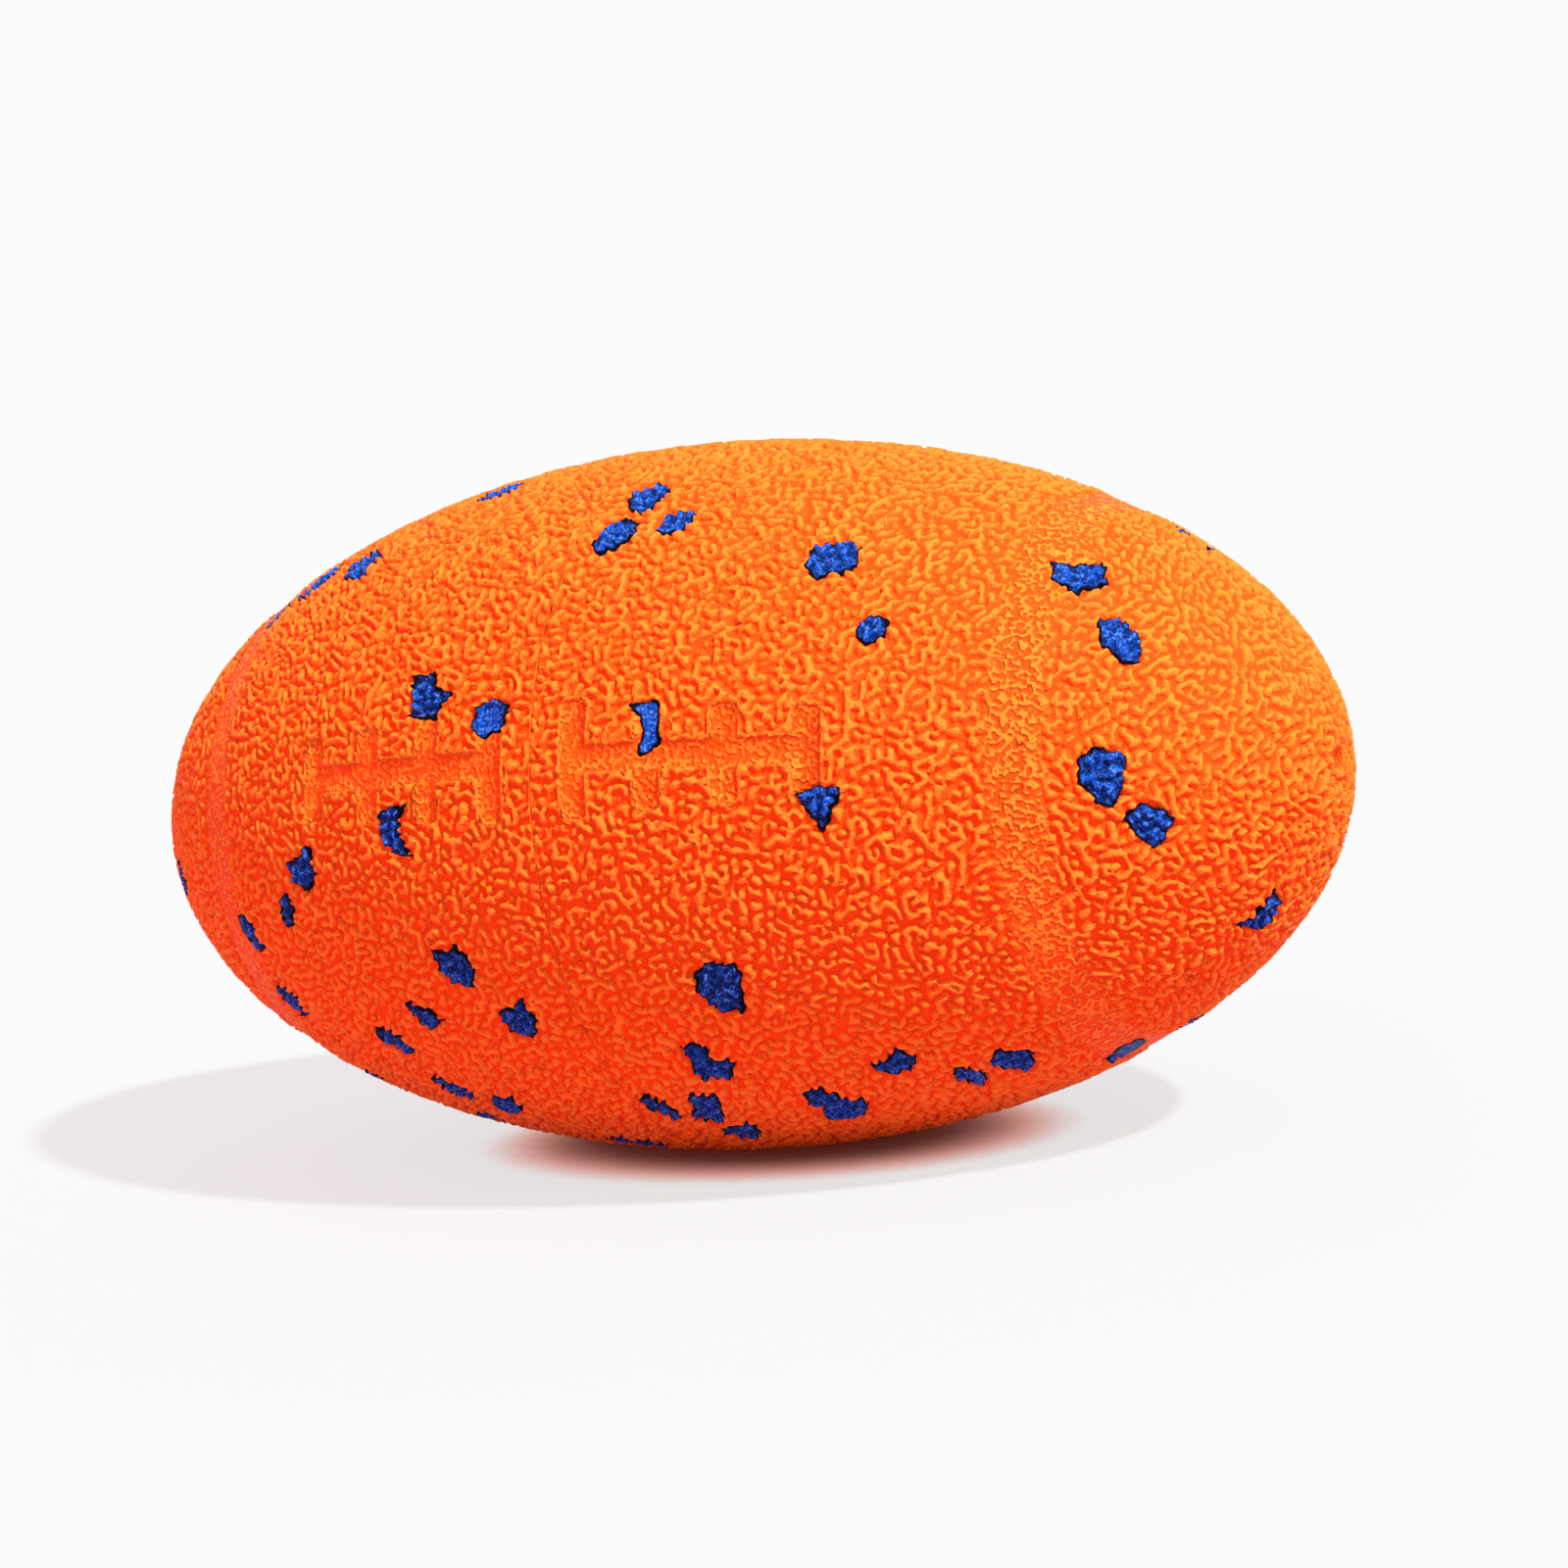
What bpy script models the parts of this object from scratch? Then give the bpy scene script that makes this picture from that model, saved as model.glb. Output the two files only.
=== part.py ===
"""Oval rubber pet ball: two moulded half shells bonded at the middle, with a squeaker in one tip.

Run with blender --background --python part.py, or from Blender's text editor.
Units are metres. The long axis lies along +X, +Z is up, and the origin is under the
middle of the ball, on the surface that it rests on. The laces face -Y.
"""
import math
import random

import bmesh
import bpy
from mathutils import Matrix, Vector

MILLIMETRE = 0.001

# Ball: an oval of revolution with a hollow inside
LENGTH = 0.150
DIAMETER = 0.081
WALL = 0.006
# The soft underside settles flat by this much where the ball lies
REST_FLAT_DEPTH = 0.0004

# Seam: the rims of the two halves and the bond between them
SEAM_WIDTH = 0.0005
BOND_CLEARANCE = 0.00005
BOND_SINK = 0.0005

# Smooth stripe round each end. Its edge nearer the seam lies at this angle from the seam.
STRIPE_LATITUDE = math.radians(40.6)
STRIPE_WIDTH = 0.0050
STRIPE_DEPTH = 0.00035

# Laces: cross bars on one channel in each half, sunk into the skin
LACE_CLOCK = math.radians(16)
LACE_DEPTH = 0.0005
LACE_CHANNEL_WIDTH = 0.0030
LACE_BAR_WIDTH = 0.0030
LACE_BAR_COUNT = 4
LACE_FIRST_BAR = 0.0053
LACE_BAR_PITCH = 0.0087
LACE_LONGEST_BAR = 0.0130
LACE_BAR_STEP = 0.0012
LACE_CORNER = 0.0009

# Squeaker: an air port in the +X tip, and a socket behind it
PORT_DIAMETER = 0.0028
PORT_WALL = 0.0060
SOCKET_CLEARANCE = 0.0003
SOCKET_WALL = 0.0032
SOCKET_LIP_THICKNESS = 0.0012
SOCKET_LIP_REACH = 0.0008
HOUSING_DIAMETER = 0.0160
HOUSING_LENGTH = 0.0110
HOUSING_WALL = 0.0012
FIT_CLEARANCE = 0.0003
CAP_THICKNESS = 0.0010
CAP_RIM_HEIGHT = 0.0009
CAP_RIM_WIDTH = 0.0009
CAP_HOLE_DIAMETER = 0.0022
CAP_HOLE_COUNT = 3
CAP_HOLE_CIRCLE = 0.0068
SEAT_THICKNESS = 0.0014
POST_DIAMETER = 0.0052
POST_TIP_GAP = 0.0008
POST_BORE = 0.0026
POST_END_WALL = 0.0008
POST_FLAT_HEIGHT = 0.0017
SLOT_WIDTH = 0.0014
SLOT_SETBACK = 0.0005
COLLAR_WIDTH = 0.0011
COLLAR_WALL = 0.0010
REED_THICKNESS = 0.0002
REED_WIDTH = 0.0024
REED_TIP_SETBACK = 0.0002

# Blue rubber chips moulded flush into the skin. Each side has a torn point near its middle:
# the jag is its distance off the side, the shift its distance along, both as shares of the side.
FLECK_THICKNESS = 0.0015
FLECK_SINK = 0.0002
FLECK_CLEARANCE = 0.0003
FLECK_JAG = 0.07
FLECK_TEAR_SHIFT = 0.1
FLECK_SEED = 7
POCKET_RISE = 0.0015

# Facets round the ball, round the small parts, along the quarter oval and round a lace's corner
BALL_STEPS = 48
SMALL_STEPS = 24
OVAL_STEPS = 12
CORNER_STEPS = 3
MERGE_DISTANCE = 0.00001

# Chip outlines on a unit square: across is along the ball, up is round it
FLECK_SHAPES = {
    "wedge": [(-0.50, 0.35), (0.00, 0.50), (0.50, 0.42), (0.22, -0.15), (0.05, -0.50), (-0.12, -0.20)],
    "kite": [(-0.50, 0.32), (-0.05, 0.50), (0.50, 0.08), (0.02, -0.50), (-0.25, -0.20)],
    "block": [(-0.50, -0.25), (-0.42, 0.28), (0.10, 0.50), (0.50, 0.32), (0.42, -0.22), (-0.15, -0.50)],
    "heart": [(-0.45, 0.42), (0.00, 0.50), (0.14, 0.10), (0.50, -0.02), (0.15, -0.50), (-0.40, -0.38)],
    "band": [(-0.50, 0.46), (0.30, 0.50), (0.50, -0.20), (-0.18, -0.50), (-0.15, 0.10)],
    "crescent": [(-0.30, 0.42), (0.50, 0.50), (0.12, 0.22), (0.25, -0.15), (0.50, -0.45), (-0.10, -0.35),
                 (-0.50, 0.00)],
    "shard": [(-0.50, 0.35), (-0.10, 0.50), (0.38, 0.18), (0.50, -0.35), (0.10, -0.50), (-0.40, -0.10)],
    "slant": [(-0.50, -0.20), (-0.30, 0.30), (0.15, 0.50), (0.50, 0.40), (0.40, -0.15), (-0.05, -0.50)],
    "flame": [(-0.50, 0.12), (0.02, 0.28), (0.28, 0.50), (0.50, 0.00), (0.12, -0.50), (-0.38, -0.32)],
    "boot": [(-0.50, -0.42), (-0.18, 0.18), (-0.05, 0.50), (0.50, 0.34), (0.30, -0.20), (0.11, -0.50)],
    "star": [(-0.50, 0.40), (-0.05, 0.30), (0.12, 0.50), (0.50, 0.02), (0.35, -0.50), (-0.32, -0.25)],
    "lobed": [(-0.45, 0.32), (0.00, 0.50), (0.50, 0.36), (0.45, -0.12), (0.28, -0.50), (-0.12, -0.42),
              (-0.50, -0.05)],
    "bowl": [(-0.50, 0.48), (-0.22, 0.25), (0.50, 0.30), (0.40, -0.25), (0.08, -0.50), (-0.30, -0.20)],
    "leaf": [(-0.45, 0.50), (0.05, 0.28), (0.50, -0.15), (0.00, -0.50), (-0.38, -0.30)],
}

# Chips on the lace side. Each row gives degrees from the seam towards a tip, degrees up
# from the level of the middle, millimetres along and round the ball, and an outline.
FRONT_FLECKS = [
    (4.5, 64, 4.5, 5.8, "lobed"),
    (3.6, 54.7, 4.7, 5.6, "block"),
    (8.8, 57, 4.2, 4.4, "slant"),
    (24.6, 50, 5.6, 5.6, "block"),
    (29.7, 36.6, 3.2, 3.5, "block"),
    (46.9, 57.8, 6.6, 5.4, "flame"),
    (53, 43, 5.1, 5.2, "shard"),
    (-11, 28, 6.6, 5.8, "heart"),
    (-4.2, 23, 4.6, 4.4, "block"),
    (10.7, 20, 4.0, 5.8, "band"),
    (25.7, 6, 4.8, 4.8, "wedge"),
    (51.8, 8.2, 4.8, 6.3, "lobed"),
    (56.6, -5.6, 5.1, 4.9, "kite"),
    (65.3, -58.3, 5.5, 4.7, "bowl"),
    (-14.7, 6.3, 4.8, 6.1, "crescent"),
    (-27.6, 0.5, 5.0, 5.4, "flame"),
    (-40, -15, 4.0, 5.2, "shard"),
    (-61, -8, 4.5, 5.0, "block"),
    (-37.6, -31.5, 4.6, 5.0, "shard"),
    (-11, -16, 5.6, 5.2, "star"),
    (-16.6, -26.4, 4.8, 3.8, "leaf"),
    (-6.2, -25.8, 5.2, 5.8, "flame"),
    (-23, -34.5, 5.0, 4.4, "shard"),
    (13.9, -21.9, 5.4, 6.7, "lobed"),
    (9.8, -36.5, 5.6, 6.4, "heart"),
    (2, -47.8, 3.2, 6.2, "shard"),
    (6, -48.7, 5.6, 6.4, "boot"),
    (6.6, -58.6, 5.4, 5.2, "slant"),
    (17.8, -52.5, 6.0, 8.4, "heart"),
    (25.2, -43.9, 5.0, 4.6, "flame"),
    (30.1, -55, 3.4, 5.8, "kite"),
    (34.5, -54.9, 4.6, 6.4, "kite"),
    (-20, -47, 5.0, 5.0, "shard"),
    (-15, -50, 4.8, 5.0, "slant"),
    (-6, -65.5, 6.6, 4.8, "shard"),
    (-15, 78, 5.0, 5.0, "block"),
    (-27.8, 63.5, 6.0, 7.0, "star"),
    (-35.5, 66.5, 6.4, 6.0, "slant"),
    (42, -75, 5.2, 5.0, "block"),
]

# Chips on the far side, spread evenly by the golden ratio, in the same units, clear of the seam
BACK_FLECK_COUNT = 13
BACK_FLECK_SIZE = 5.4
BACK_CLOCK_START = 104
BACK_CLOCK_SPAN = 140
BACK_LATITUDE_SPAN = 118
BACK_LATITUDE_LEAST = 5

half_length = LENGTH / 2
radius = DIAMETER / 2
centre_height = radius - REST_FLAT_DEPTH
rim = SEAM_WIDTH / 2

# Turns a shape's own Z on to the ball's long axis
TO_LONG_AXIS = Matrix.Rotation(math.pi / 2, 4, "Y")


def new_collection(name):
    collection = bpy.data.collections.new(name)
    bpy.context.scene.collection.children.link(collection)
    return collection


def new_material(name, colour, roughness):
    material = bpy.data.materials.new(name)
    material.use_nodes = True
    shader = material.node_tree.nodes["Principled BSDF"]
    shader.inputs["Base Color"].default_value = (*colour, 1.0)
    shader.inputs["Roughness"].default_value = roughness
    shader.inputs["Metallic"].default_value = 0.0
    return material


def place(name, data, matrix, collection, material=None):
    """Add an object under the ball's centre, in the parts or as a cutter."""
    piece = bpy.data.objects.new(name, data)
    piece.parent = ball_centre
    piece.matrix_local = matrix
    collection.objects.link(piece)
    if material is None:
        piece.hide_render = True
        piece.display_type = "WIRE"
    else:
        data.materials.append(material)
    return piece


def turned(name, profile, closed, steps, collection, material=None):
    """Turn (station, radius) points round the long axis. The outer side runs from +X to -X."""
    mesh = bpy.data.meshes.new(name)
    points = [(r, 0.0, station) for station, r in profile]
    edges = [(i, i + 1) for i in range(len(points) - 1)]
    if closed:
        edges.append((len(points) - 1, 0))
    mesh.from_pydata(points, edges, [])
    piece = place(name, mesh, TO_LONG_AXIS, collection, material)
    screw = piece.modifiers.new("turn", "SCREW")
    screw.axis = "Z"
    screw.angle = 2 * math.pi
    screw.steps = steps
    screw.render_steps = steps
    screw.use_merge_vertices = True
    screw.merge_threshold = MERGE_DISTANCE
    return piece


def prism(name, outline, thickness, matrix, collection, material=None):
    """Extrude a flat outline along its own Z, from -thickness / 2 to +thickness / 2."""
    curve = bpy.data.curves.new(name, "CURVE")
    curve.dimensions = "2D"
    curve.fill_mode = "BOTH"
    curve.extrude = thickness / 2
    spline = curve.splines.new("POLY")
    spline.points.add(len(outline) - 1)
    for point, (x, y) in zip(spline.points, outline):
        point.co = (x, y, 0.0, 1.0)
    spline.use_cyclic_u = True
    guide = bpy.data.objects.new(name + "_outline", curve)
    bpy.context.scene.collection.objects.link(guide)
    evaluated = guide.evaluated_get(bpy.context.evaluated_depsgraph_get())
    mesh = bpy.data.meshes.new_from_object(evaluated)
    bpy.data.objects.remove(guide)
    bpy.data.curves.remove(curve)
    mesh.name = name
    mesh.materials.clear()
    shape = bmesh.new()
    shape.from_mesh(mesh)
    bmesh.ops.remove_doubles(shape, verts=shape.verts, dist=MERGE_DISTANCE)
    bmesh.ops.recalc_face_normals(shape, faces=shape.faces)
    shape.to_mesh(mesh)
    shape.free()
    return place(name, mesh, matrix, collection, material)


def box(name, low, high, matrix, collection, material=None):
    """A box between two corners in the piece's own axes."""
    low = Vector(low)
    high = Vector(high)
    mesh = bpy.data.meshes.new(name)
    shape = bmesh.new()
    size = Matrix.Diagonal((*(high - low), 1.0))
    bmesh.ops.create_cube(shape, size=1.0, matrix=Matrix.Translation((low + high) / 2) @ size)
    shape.to_mesh(mesh)
    shape.free()
    return place(name, mesh, matrix, collection, material)


def cut(piece, cutters):
    """Take one cutter, or every cutter in a collection, out of a piece."""
    boolean = piece.modifiers.new("cut", "BOOLEAN")
    boolean.operation = "DIFFERENCE"
    boolean.solver = "EXACT"
    if isinstance(cutters, bpy.types.Collection):
        boolean.operand_type = "COLLECTION"
        boolean.collection = cutters
    else:
        boolean.object = cutters


def oval_radius(station, half, across):
    """Radius of the oval of that half length and greatest radius."""
    return across * math.sqrt(max(0.0, 1 - (station / half) ** 2))


def oval_station(r, half, across):
    return half * math.sqrt(1 - (r / across) ** 2)


def oval_points(start, end, half, across):
    """Points on the oval from one station to another, evenly spaced in its own angle."""
    first = math.asin(start / half)
    last = math.asin(end / half)
    count = max(2, round(abs(last - first) / (math.pi / 2) * OVAL_STEPS))
    angles = [first + (last - first) * i / count for i in range(count + 1)]
    return [(half * math.sin(t), across * math.cos(t)) for t in angles]


def skin_points(tip_station):
    """Outer profile of a half from its tip to its rim, with the sunk stripe."""
    stripe_start = half_length * math.sin(STRIPE_LATITUDE)
    stripe_end = stripe_start + STRIPE_WIDTH
    floor_end = (stripe_end, oval_radius(stripe_end, half_length, radius) - STRIPE_DEPTH)
    floor_start = (stripe_start, oval_radius(stripe_start, half_length, radius) - STRIPE_DEPTH)
    tip_side = oval_points(tip_station, stripe_end, half_length, radius)
    rim_side = oval_points(stripe_start, rim, half_length, radius)
    return tip_side + [floor_end, floor_start] + rim_side


def arc(centre_x, centre_y, r, start, end, count):
    angles = [start + (end - start) * i / count for i in range(count + 1)]
    return [(centre_x + r * math.cos(t), centre_y + r * math.sin(t)) for t in angles]


def circle(r):
    """One turn of points for a small round outline, without the last, which is the first again."""
    return arc(0.0, 0.0, r, 0.0, 2 * math.pi, SMALL_STEPS)[:-1]


def lace_outline():
    """Channel with cross bars for the +X half: station across, distance round the ball up."""
    half_channel = LACE_CHANNEL_WIDTH / 2
    half_bar = LACE_BAR_WIDTH / 2
    upper = []
    for i in range(LACE_BAR_COUNT):
        middle = LACE_FIRST_BAR + i * LACE_BAR_PITCH
        reach = (LACE_LONGEST_BAR - i * LACE_BAR_STEP) / 2
        start = middle - half_bar
        end = middle + half_bar
        if i > 0:
            upper.append((start, half_channel))
        corner_y = reach - LACE_CORNER
        upper += arc(start + LACE_CORNER, corner_y, LACE_CORNER, math.pi, math.pi / 2, CORNER_STEPS)
        upper += arc(end - LACE_CORNER, corner_y, LACE_CORNER, math.pi / 2, 0.0, CORNER_STEPS)
        if i < LACE_BAR_COUNT - 1:
            upper.append((end, half_channel))
    return upper + [(x, -y) for x, y in reversed(upper)]


def surface_frame(latitude, clock):
    """Matrix on the skin: X along the ball, Y round it and upwards, Z out of the skin."""
    around = Vector((0.0, -math.cos(clock), math.sin(clock)))
    point = around * radius * math.cos(latitude)
    point.x = half_length * math.sin(latitude)
    out = around * math.cos(latitude) / radius
    out.x = math.sin(latitude) / half_length
    out.normalize()
    upwards = Vector((0.0, math.sin(clock), math.cos(clock)))
    along = upwards.cross(out)
    frame = Matrix((along, upwards, out)).transposed().to_4x4()
    frame.translation = point
    return frame


def fleck_outline(shape, along, around, draw):
    """A chip's corners at its real size, with one torn point on each side."""
    corners = [Vector((x * along, y * around)) for x, y in FLECK_SHAPES[shape]]
    outline = []
    for corner, following in zip(corners, corners[1:] + corners[:1]):
        side = following - corner
        out = Vector((side.y, -side.x))
        share = 0.5 + draw.uniform(-FLECK_TEAR_SHIFT, FLECK_TEAR_SHIFT)
        outline.append(corner)
        outline.append(corner + side * share + out * draw.uniform(-FLECK_JAG, FLECK_JAG))
    return outline


def widened(outline, clearance):
    """The outline, which runs clockwise, with every side moved outwards by the clearance."""
    moved = []
    for before, point, after in zip(outline[-1:] + outline[:-1], outline, outline[1:] + outline[:1]):
        arriving = (point - before).normalized()
        leaving = (after - point).normalized()
        outwards = Vector((-arriving.y - leaving.y, arriving.x + leaving.x))
        moved.append(point + outwards * clearance / (1 + arriving.dot(leaving)))
    return moved


def add_fleck(number, latitude, clock, along, around, shape, draw):
    """One chip, and the pocket that it lies in."""
    frame = surface_frame(math.radians(latitude), math.radians(clock))
    outline = fleck_outline(shape, along * MILLIMETRE, around * MILLIMETRE, draw)
    top = -FLECK_SINK
    bottom = top - FLECK_THICKNESS
    middle = Matrix.Translation((0.0, 0.0, (top + bottom) / 2))
    name = f"blue_fleck_{number:02d}"
    prism(name, outline, FLECK_THICKNESS, frame @ middle, parts, blue_rubber)
    pocket_floor = bottom - FLECK_CLEARANCE
    pocket_middle = Matrix.Translation((0.0, 0.0, (pocket_floor + POCKET_RISE) / 2))
    pocket_outline = widened(outline, FLECK_CLEARANCE)
    half_cutters = front_cutters if latitude > 0 else rear_cutters
    pocket_depth = POCKET_RISE - pocket_floor
    prism(name + "_pocket", pocket_outline, pocket_depth, frame @ pocket_middle, half_cutters)


for leftover in list(bpy.data.objects):
    bpy.data.objects.remove(leftover)

parts = new_collection("oval_pet_ball")
cutters = new_collection("oval_pet_ball_cutters")
front_cutters = bpy.data.collections.new("front_half_cutters")
rear_cutters = bpy.data.collections.new("rear_half_cutters")
cutters.children.link(front_cutters)
cutters.children.link(rear_cutters)

orange_rubber = new_material("orange_rubber", (0.90, 0.16, 0.01), 0.55)
blue_rubber = new_material("blue_rubber", (0.01, 0.06, 0.36), 0.50)
bond_rubber = new_material("bond_rubber", (0.55, 0.09, 0.01), 0.60)
squeaker_plastic = new_material("squeaker_plastic", (0.78, 0.79, 0.76), 0.45)
reed_film = new_material("reed_film", (0.62, 0.66, 0.68), 0.30)

ball_centre = bpy.data.objects.new("ball_centre", None)
ball_centre.location = (0.0, 0.0, centre_height)
parts.objects.link(ball_centre)

# Stations along the squeaker, from the air port inwards
socket_floor = half_length - PORT_WALL
housing_end = socket_floor - SOCKET_CLEARANCE
housing_mouth = housing_end - HOUSING_LENGTH
lip_top = housing_mouth - SOCKET_CLEARANCE
lip_bottom = lip_top - SOCKET_LIP_THICKNESS
port_radius = PORT_DIAMETER / 2
housing_radius = HOUSING_DIAMETER / 2
housing_bore = housing_radius - HOUSING_WALL
socket_radius = housing_radius + SOCKET_CLEARANCE
boss_radius = socket_radius + SOCKET_WALL
lip_radius = housing_radius - SOCKET_LIP_REACH

# Half shell with the air port, the stripe, and the boss that grips the squeaker
inner_half = half_length - WALL
inner_radius = radius - WALL
port_station = oval_station(port_radius, half_length, radius)
boss_root = oval_station(boss_radius, inner_half, inner_radius)
front_profile = skin_points(port_station)
front_profile += oval_points(rim, boss_root, inner_half, inner_radius)
front_profile += [
    (lip_bottom, boss_radius),
    (lip_bottom, lip_radius),
    (lip_top, lip_radius),
    (lip_top, socket_radius),
    (socket_floor, socket_radius),
    (socket_floor, port_radius),
]
front_half_shell = turned("front_half_shell", front_profile, True, BALL_STEPS, parts, orange_rubber)

# Plain half shell, the mirror image of the other's outside
rear_skin = [(-station, r) for station, r in reversed(skin_points(half_length))]
hollow = oval_points(rim, inner_half, inner_half, inner_radius)
rear_profile = [(-station, r) for station, r in reversed(hollow)] + rear_skin
rear_profile[0] = (-inner_half, 0.0)
rear_profile[-1] = (-half_length, 0.0)
rear_half_shell = turned("rear_half_shell", rear_profile, False, BALL_STEPS, parts, orange_rubber)

# Bond that joins the two rims, seen as the line round the middle
bond_half = rim - BOND_CLEARANCE
bond_outer = radius - BOND_SINK
bond_profile = [
    (bond_half, bond_outer),
    (-bond_half, bond_outer),
    (-bond_half, inner_radius),
    (bond_half, inner_radius),
]
turned("seam_bond", bond_profile, True, BALL_STEPS, parts, bond_rubber)

# Laces: the bars and channel are taken out only down to a smaller oval inside the skin
core_half = half_length - LACE_DEPTH
core_profile = oval_points(core_half, -core_half, core_half, radius - LACE_DEPTH)
core_profile[0] = (core_half, 0.0)
core_profile[-1] = (-core_half, 0.0)
lace_core = turned("lace_core", core_profile, False, BALL_STEPS, cutters)
lace_frame = surface_frame(0.0, LACE_CLOCK)
lace_end = LACE_FIRST_BAR + (LACE_BAR_COUNT - 1) * LACE_BAR_PITCH + LACE_BAR_WIDTH / 2
lace_sag = radius - oval_radius(lace_end, half_length, radius) * math.cos(LACE_LONGEST_BAR / DIAMETER)
lace_cut_depth = 2 * (lace_sag + LACE_DEPTH)
front_outline = lace_outline()
rear_outline = [(-x, y) for x, y in reversed(front_outline)]
for name, outline, half_cutters in (
    ("front_laces", front_outline, front_cutters),
    ("rear_laces", rear_outline, rear_cutters),
):
    laces = prism(name, outline, 2 * lace_cut_depth, lace_frame, half_cutters)
    cut(laces, lace_core)

# Blue chips, first those on the lace side, then those on the far side
chip_draw = random.Random(FLECK_SEED)
for number, row in enumerate(FRONT_FLECKS, start=1):
    add_fleck(number, *row, chip_draw)
golden_ratio = (math.sqrt(5) - 1) / 2
shape_names = list(FLECK_SHAPES)
for i in range(BACK_FLECK_COUNT):
    share = (i + 0.5) / BACK_FLECK_COUNT
    back_latitude = (share - 0.5) * BACK_LATITUDE_SPAN
    if abs(back_latitude) < BACK_LATITUDE_LEAST:
        back_latitude = BACK_LATITUDE_LEAST
    back_clock = BACK_CLOCK_START + BACK_CLOCK_SPAN * (i * golden_ratio % 1.0)
    shape = shape_names[i % len(shape_names)]
    number = len(FRONT_FLECKS) + i + 1
    add_fleck(number, back_latitude, back_clock, BACK_FLECK_SIZE, BACK_FLECK_SIZE, shape, chip_draw)

# Flat where the underside settles on what it lies on
floor_low = (-half_length, -radius, -radius - DIAMETER)
floor_high = (half_length, radius, -centre_height)
rest_flat = box("rest_flat", floor_low, floor_high, Matrix(), front_cutters)
rear_cutters.objects.link(rest_flat)
cut(front_half_shell, front_cutters)
cut(rear_half_shell, rear_cutters)

# Squeaker housing, a cup whose end wall has the air hole
housing_wall_inside = housing_end - HOUSING_WALL
housing_profile = [
    (housing_end, port_radius),
    (housing_end, housing_radius),
    (housing_mouth, housing_radius),
    (housing_mouth, housing_bore),
    (housing_wall_inside, housing_bore),
    (housing_wall_inside, port_radius),
]
turned("squeaker_housing", housing_profile, True, SMALL_STEPS, parts, squeaker_plastic)

# Cap with air holes in the housing's mouth. Its rim stops against the reed seat.
fitted_radius = housing_bore - FIT_CLEARANCE
cap_back = housing_mouth + FIT_CLEARANCE
cap_front = cap_back + CAP_THICKNESS
rim_front = cap_front + CAP_RIM_HEIGHT
rim_inside = fitted_radius - CAP_RIM_WIDTH
cap_profile = [
    (cap_front, 0.0),
    (cap_front, rim_inside),
    (rim_front, rim_inside),
    (rim_front, fitted_radius),
    (cap_back, fitted_radius),
    (cap_back, 0.0),
]
squeaker_cap = turned("squeaker_cap", cap_profile, False, SMALL_STEPS, parts, squeaker_plastic)
cap_hole_middle = Matrix.Translation(((cap_back + cap_front) / 2, 0.0, CAP_HOLE_CIRCLE / 2))
for i in range(CAP_HOLE_COUNT):
    turn = Matrix.Rotation(2 * math.pi * i / CAP_HOLE_COUNT, 4, "X")
    spot = turn @ cap_hole_middle @ TO_LONG_AXIS
    hole_name = f"cap_hole_{i + 1}"
    cut(squeaker_cap, prism(hole_name, circle(CAP_HOLE_DIAMETER / 2), 2 * CAP_THICKNESS, spot, cutters))

# Reed seat: a disc with a hollow post, flattened and slotted on its upper side. The post
# stops short of the housing's end wall, and its slot starts clear of the collar round its root.
seat_back = rim_front + FIT_CLEARANCE
seat_front = seat_back + SEAT_THICKNESS
collar_back = seat_front + FIT_CLEARANCE
collar_front = collar_back + COLLAR_WIDTH
post_end = housing_wall_inside - POST_TIP_GAP
bore_end = post_end - POST_END_WALL
post_radius = POST_DIAMETER / 2
bore_radius = POST_BORE / 2
seat_profile = [
    (post_end, 0.0),
    (post_end, post_radius),
    (seat_front, post_radius),
    (seat_front, fitted_radius),
    (seat_back, fitted_radius),
    (seat_back, bore_radius),
    (bore_end, bore_radius),
    (bore_end, 0.0),
]
reed_seat = turned("squeaker_reed_seat", seat_profile, False, SMALL_STEPS, parts, squeaker_plastic)
flat_low = (seat_front, -POST_DIAMETER, POST_FLAT_HEIGHT)
flat_high = (post_end + POST_DIAMETER, POST_DIAMETER, POST_DIAMETER)
cut(reed_seat, box("post_flat", flat_low, flat_high, Matrix(), cutters))
slot_low = (collar_front + SLOT_SETBACK, -SLOT_WIDTH / 2, 0.0)
slot_high = (bore_end - FIT_CLEARANCE, SLOT_WIDTH / 2, POST_DIAMETER)
cut(reed_seat, box("post_slot", slot_low, slot_high, Matrix(), cutters))

# Reed: a springy tongue over the slot, held at its root. Its origin is where it bends.
reed_low_side = POST_FLAT_HEIGHT + FIT_CLEARANCE
reed_middle = reed_low_side + REED_THICKNESS / 2
reed_low = (collar_back - collar_front, -REED_WIDTH / 2, -REED_THICKNESS / 2)
reed_high = (post_end - REED_TIP_SETBACK - collar_front, REED_WIDTH / 2, REED_THICKNESS / 2)
bend_line = Matrix.Translation((collar_front, 0.0, reed_middle))
box("squeaker_reed", reed_low, reed_high, bend_line, parts, reed_film)

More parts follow.
